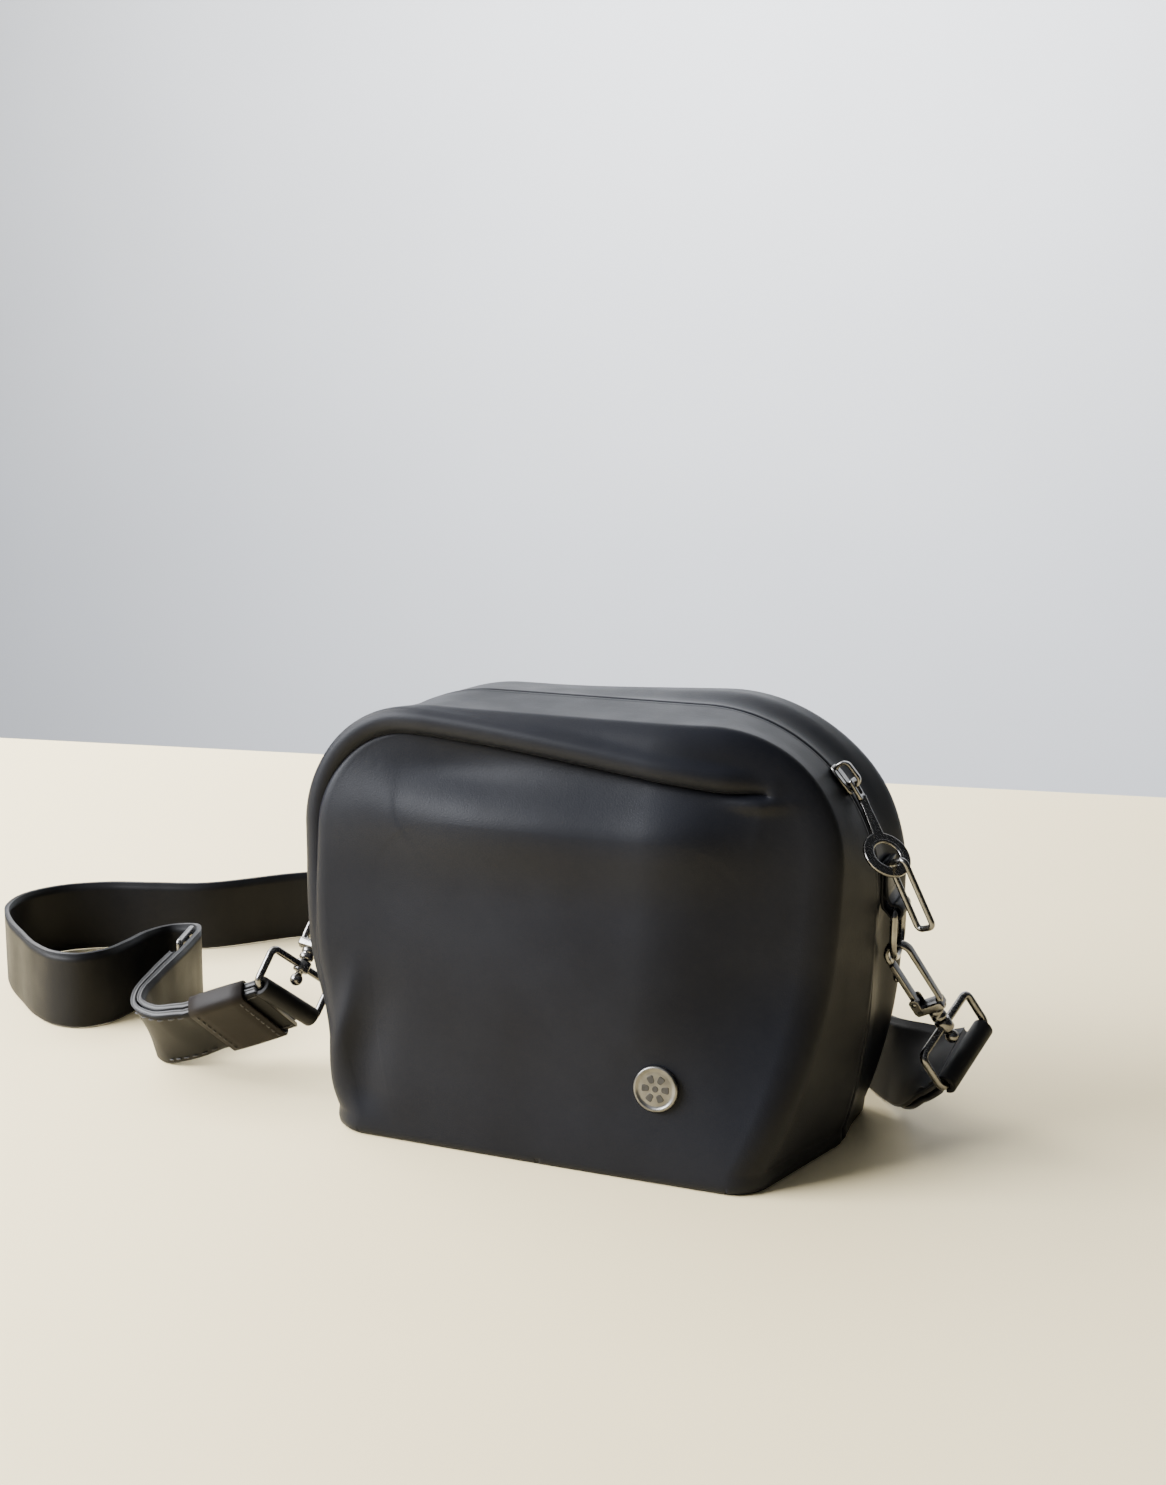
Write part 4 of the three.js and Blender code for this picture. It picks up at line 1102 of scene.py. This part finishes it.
def base_outline(inset):
    """The bag's outline at the table, drawn in by an inset."""
    right = []
    for half in (FRONT, BACK):
        shares = [i / 24 for i in range(25)]
        shares = shares[::-1] if half["side"] < 0 else shares[1:]
        for share in shares:
            width = ZIP_ARCH["base"] + (half["arch"]["base"] - ZIP_ARCH["base"]) * share
            width -= edge_inset(half, share, 0) + inset
            right.append((width, ZIP_Y + half["side"] * share * (half["depth"] - inset)))
    return right + [(-x, y) for x, y in reversed(right)]


def base_and_inside():
    layers = (("base_leather", "base_panel", "leather", 4.6, 0.0, 3.0),
              ("base_stiffener", "base_board", "board", 8.5, 3.3, 5.1),
              ("base_cloth", "base_lining", "lining", 5.4, 5.4, 6.4))
    for name, node, look, inset, low, high in layers:
        part = plate([base_outline(inset)], high - low, 0.3)
        place = Matrix.Translation((0, 0, (low + high) / 2))
        add_piece(name, *moved(part, place), look, "root", [node])
    lows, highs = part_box("pocket_panel")
    y = (lows[1] + highs[1]) / 2 / MM
    panel = rounded_box(-66, 22, 66, 100, 5)
    place = Matrix.Translation((0, y, 0)) @ FACE_UP
    pocket = moved(plate([panel], 0.9, 0.3), place)
    add_piece("pocket_cloth", *pocket, "lining", "root", ["pocket_panel"])
    binding = moved(plate([rounded_box(-66, 100.3, 66, 105, 2)], 2.2, 0.7), place)
    add_piece("pocket_edge", *binding, "leather", "root", ["pocket_binding"])


def badge():
    """A round metal disc with a raised rim and a plain ring of petals."""
    lean = math.atan(FRONT["lean"] / ZIP_ARCH["height"])
    depth = FRONT["depth"] - FRONT["lean"] * BADGE["z"] / ZIP_ARCH["height"]
    place = Matrix.Translation((BADGE["x"], ZIP_Y - depth, BADGE["z"]))
    place = place @ Matrix.Rotation(math.pi / 2 - lean, 4, "X")
    radius, top = BADGE["radius"], 0.3 + BADGE["thick"]
    disc = lathe([(radius - 0.5, 0.1), (radius, 0.5), (radius, top - 0.5), (radius - 0.35, top - 0.08),
                  (radius - 0.7, top), (radius - 1.15, top - 0.12), (radius - 1.5, top - 0.45),
                  (radius - 2.2, top - 0.42), (1.0, top - 0.3), (0.02, top - 0.3)], 72)
    add_piece("badge", *disc, "pewter", "front", ["badge_disc"], place)
    petals = []
    for k in range(6):
        petal = rounded([(2.2, -0.9), (4.9, -1.3), (4.9, 1.3), (2.2, 0.9)], 0.8)
        turn = Matrix.Rotation(math.tau * k / 6, 4, "Z") @ Matrix.Translation((0, 0, top - 0.34))
        petals.append(moved(plate([petal], 0.3, 0.1), turn))
    dot = plate([arc(0, 0, 1.1, 0, 350, 35)], 0.3, 0.1)
    petals.append(moved(dot, Matrix.Translation((0, 0, top - 0.26))))
    add_piece("badge_mark", *merged(*petals), "recess", "front", (), place)
    washer = lathe([(5.4, -5.9), (6, -5.8), (6, -5.4), (5.4, -5.3)], 40)
    add_piece("badge_back", *washer, "gunmetal", "front", ["badge_washer"], place)


def zip_stops():
    """The metal stops at both ends of the track, as large as the solid model's."""
    for label, side in (("right", 1), ("left", -1)):
        lows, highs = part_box(f"zip_stop_{label}")
        size = [(b - a) / MM for a, b in zip(lows, highs)]
        middle = [(a + b) / 2 / MM for a, b in zip(lows, highs)]
        x, z = size[0] / 2, size[2] / 2
        shape = rounded_box(-x, -z, x, z, 0.8)
        part = moved(plate([shape], size[1], 0.4), Matrix.Translation(middle) @ FACE_UP)
        add_piece(f"stop_{label}", *part, "gunmetal", "root", [f"zip_stop_{label}"])


# ---- Surroundings ----
def stage_sheet(name, corners, color, roughness):
    look = Nodes(name, color, roughness)
    look.tint(look.noise(3.0, 2.0), tuple(c * 0.97 for c in color), color)
    mesh = bpy.data.meshes.new(name)
    mesh.from_pydata(corners, [], [(0, 1, 2, 3)])
    mesh.materials.append(look.material)
    sheet = bpy.data.objects.new(name, mesh)
    bpy.context.scene.collection.objects.link(sheet)


def area_light(name, place, aim, size, power, color):
    data = bpy.data.lights.new(name, "AREA")
    data.shape = "RECTANGLE"
    data.size, data.size_y = size
    data.energy = power
    data.color = color
    light = bpy.data.objects.new(name, data)
    bpy.context.scene.collection.objects.link(light)
    light.location = place
    light.rotation_euler = (Vector(aim) - Vector(place)).to_track_quat("-Z", "Y").to_euler()


FLOOR_BEHIND = 0.63  # how far behind the bag the floor ends
FLOOR_SLANT = math.radians(9.2)  # how far its far edge is turned from the bag's width


def add_stage():
    left, right, front = -1.9, 0.7, -1.6
    far_left, far_right = (FLOOR_BEHIND + x * math.tan(FLOOR_SLANT) for x in (left, right))
    stage_sheet("floor", [(left, front, 0), (right, front, 0), (right, far_right, 0), (left, far_left, 0)],
                (1.0, 0.84, 0.5), 0.6)
    stage_sheet("wall", [(-5, 2.4, -2), (4, 2.4, -2), (4, 2.4, 3), (-5, 2.4, 3)],
                (0.80, 0.82, 0.86), 0.9)
    light_room()
    area_light("window", (-1.2, 0.3, 1.1), (0, 0.05, 0.05), (1.1, 1.0), 36, (1, 0.99, 0.97))
    area_light("skylight", (-1.2, -0.75, 0.95), (0, 0, 0.1), (1.1, 0.9), 104, (0.94, 0.96, 1))
    area_light("ceiling", (-0.6, -0.2, 1.9), (-0.2, 0, 0), (1.4, 1.2), 3, (1, 0.98, 0.94))
    area_light("wall_wash", (-0.6, 1.1, 1.5), (-0.9, 2.4, 0.2), (1.6, 0.8), 88, (0.98, 0.99, 1))


def light_room():
    """A dim room, lighter on the left, where the window is."""
    world = bpy.data.worlds.new("room")
    world.use_nodes = True
    tree = world.node_tree
    place = tree.nodes.new("ShaderNodeTexCoord")
    split = tree.nodes.new("ShaderNodeSeparateXYZ")
    ramp = tree.nodes.new("ShaderNodeValToRGB")
    ramp.color_ramp.elements[0].color = (0.6, 0.65, 0.73, 1)
    ramp.color_ramp.elements[1].color = (0.16, 0.165, 0.175, 1)
    ramp.color_ramp.elements[1].position = 0.6
    tree.links.new(place.outputs["Generated"], split.inputs[0])
    tree.links.new(split.outputs["X"], ramp.inputs["Fac"])
    tree.links.new(ramp.outputs["Color"], tree.nodes["Background"].inputs["Color"])
    tree.nodes["Background"].inputs["Strength"].default_value = 0.35
    bpy.context.scene.world = world


# ---- Making ----
add_camera()
add_strap()
front_half()
back_half()
inner_sheets()
zip_coil()
base_and_inside()
badge()
track_place = slider_place()
zip_slider(track_place)
pull_link(zip_puller(track_place))
zip_stops()
for label in SIDES:
    d_ring(label)
    ring_tab(label)
    snap_hook(label)
add_stage()
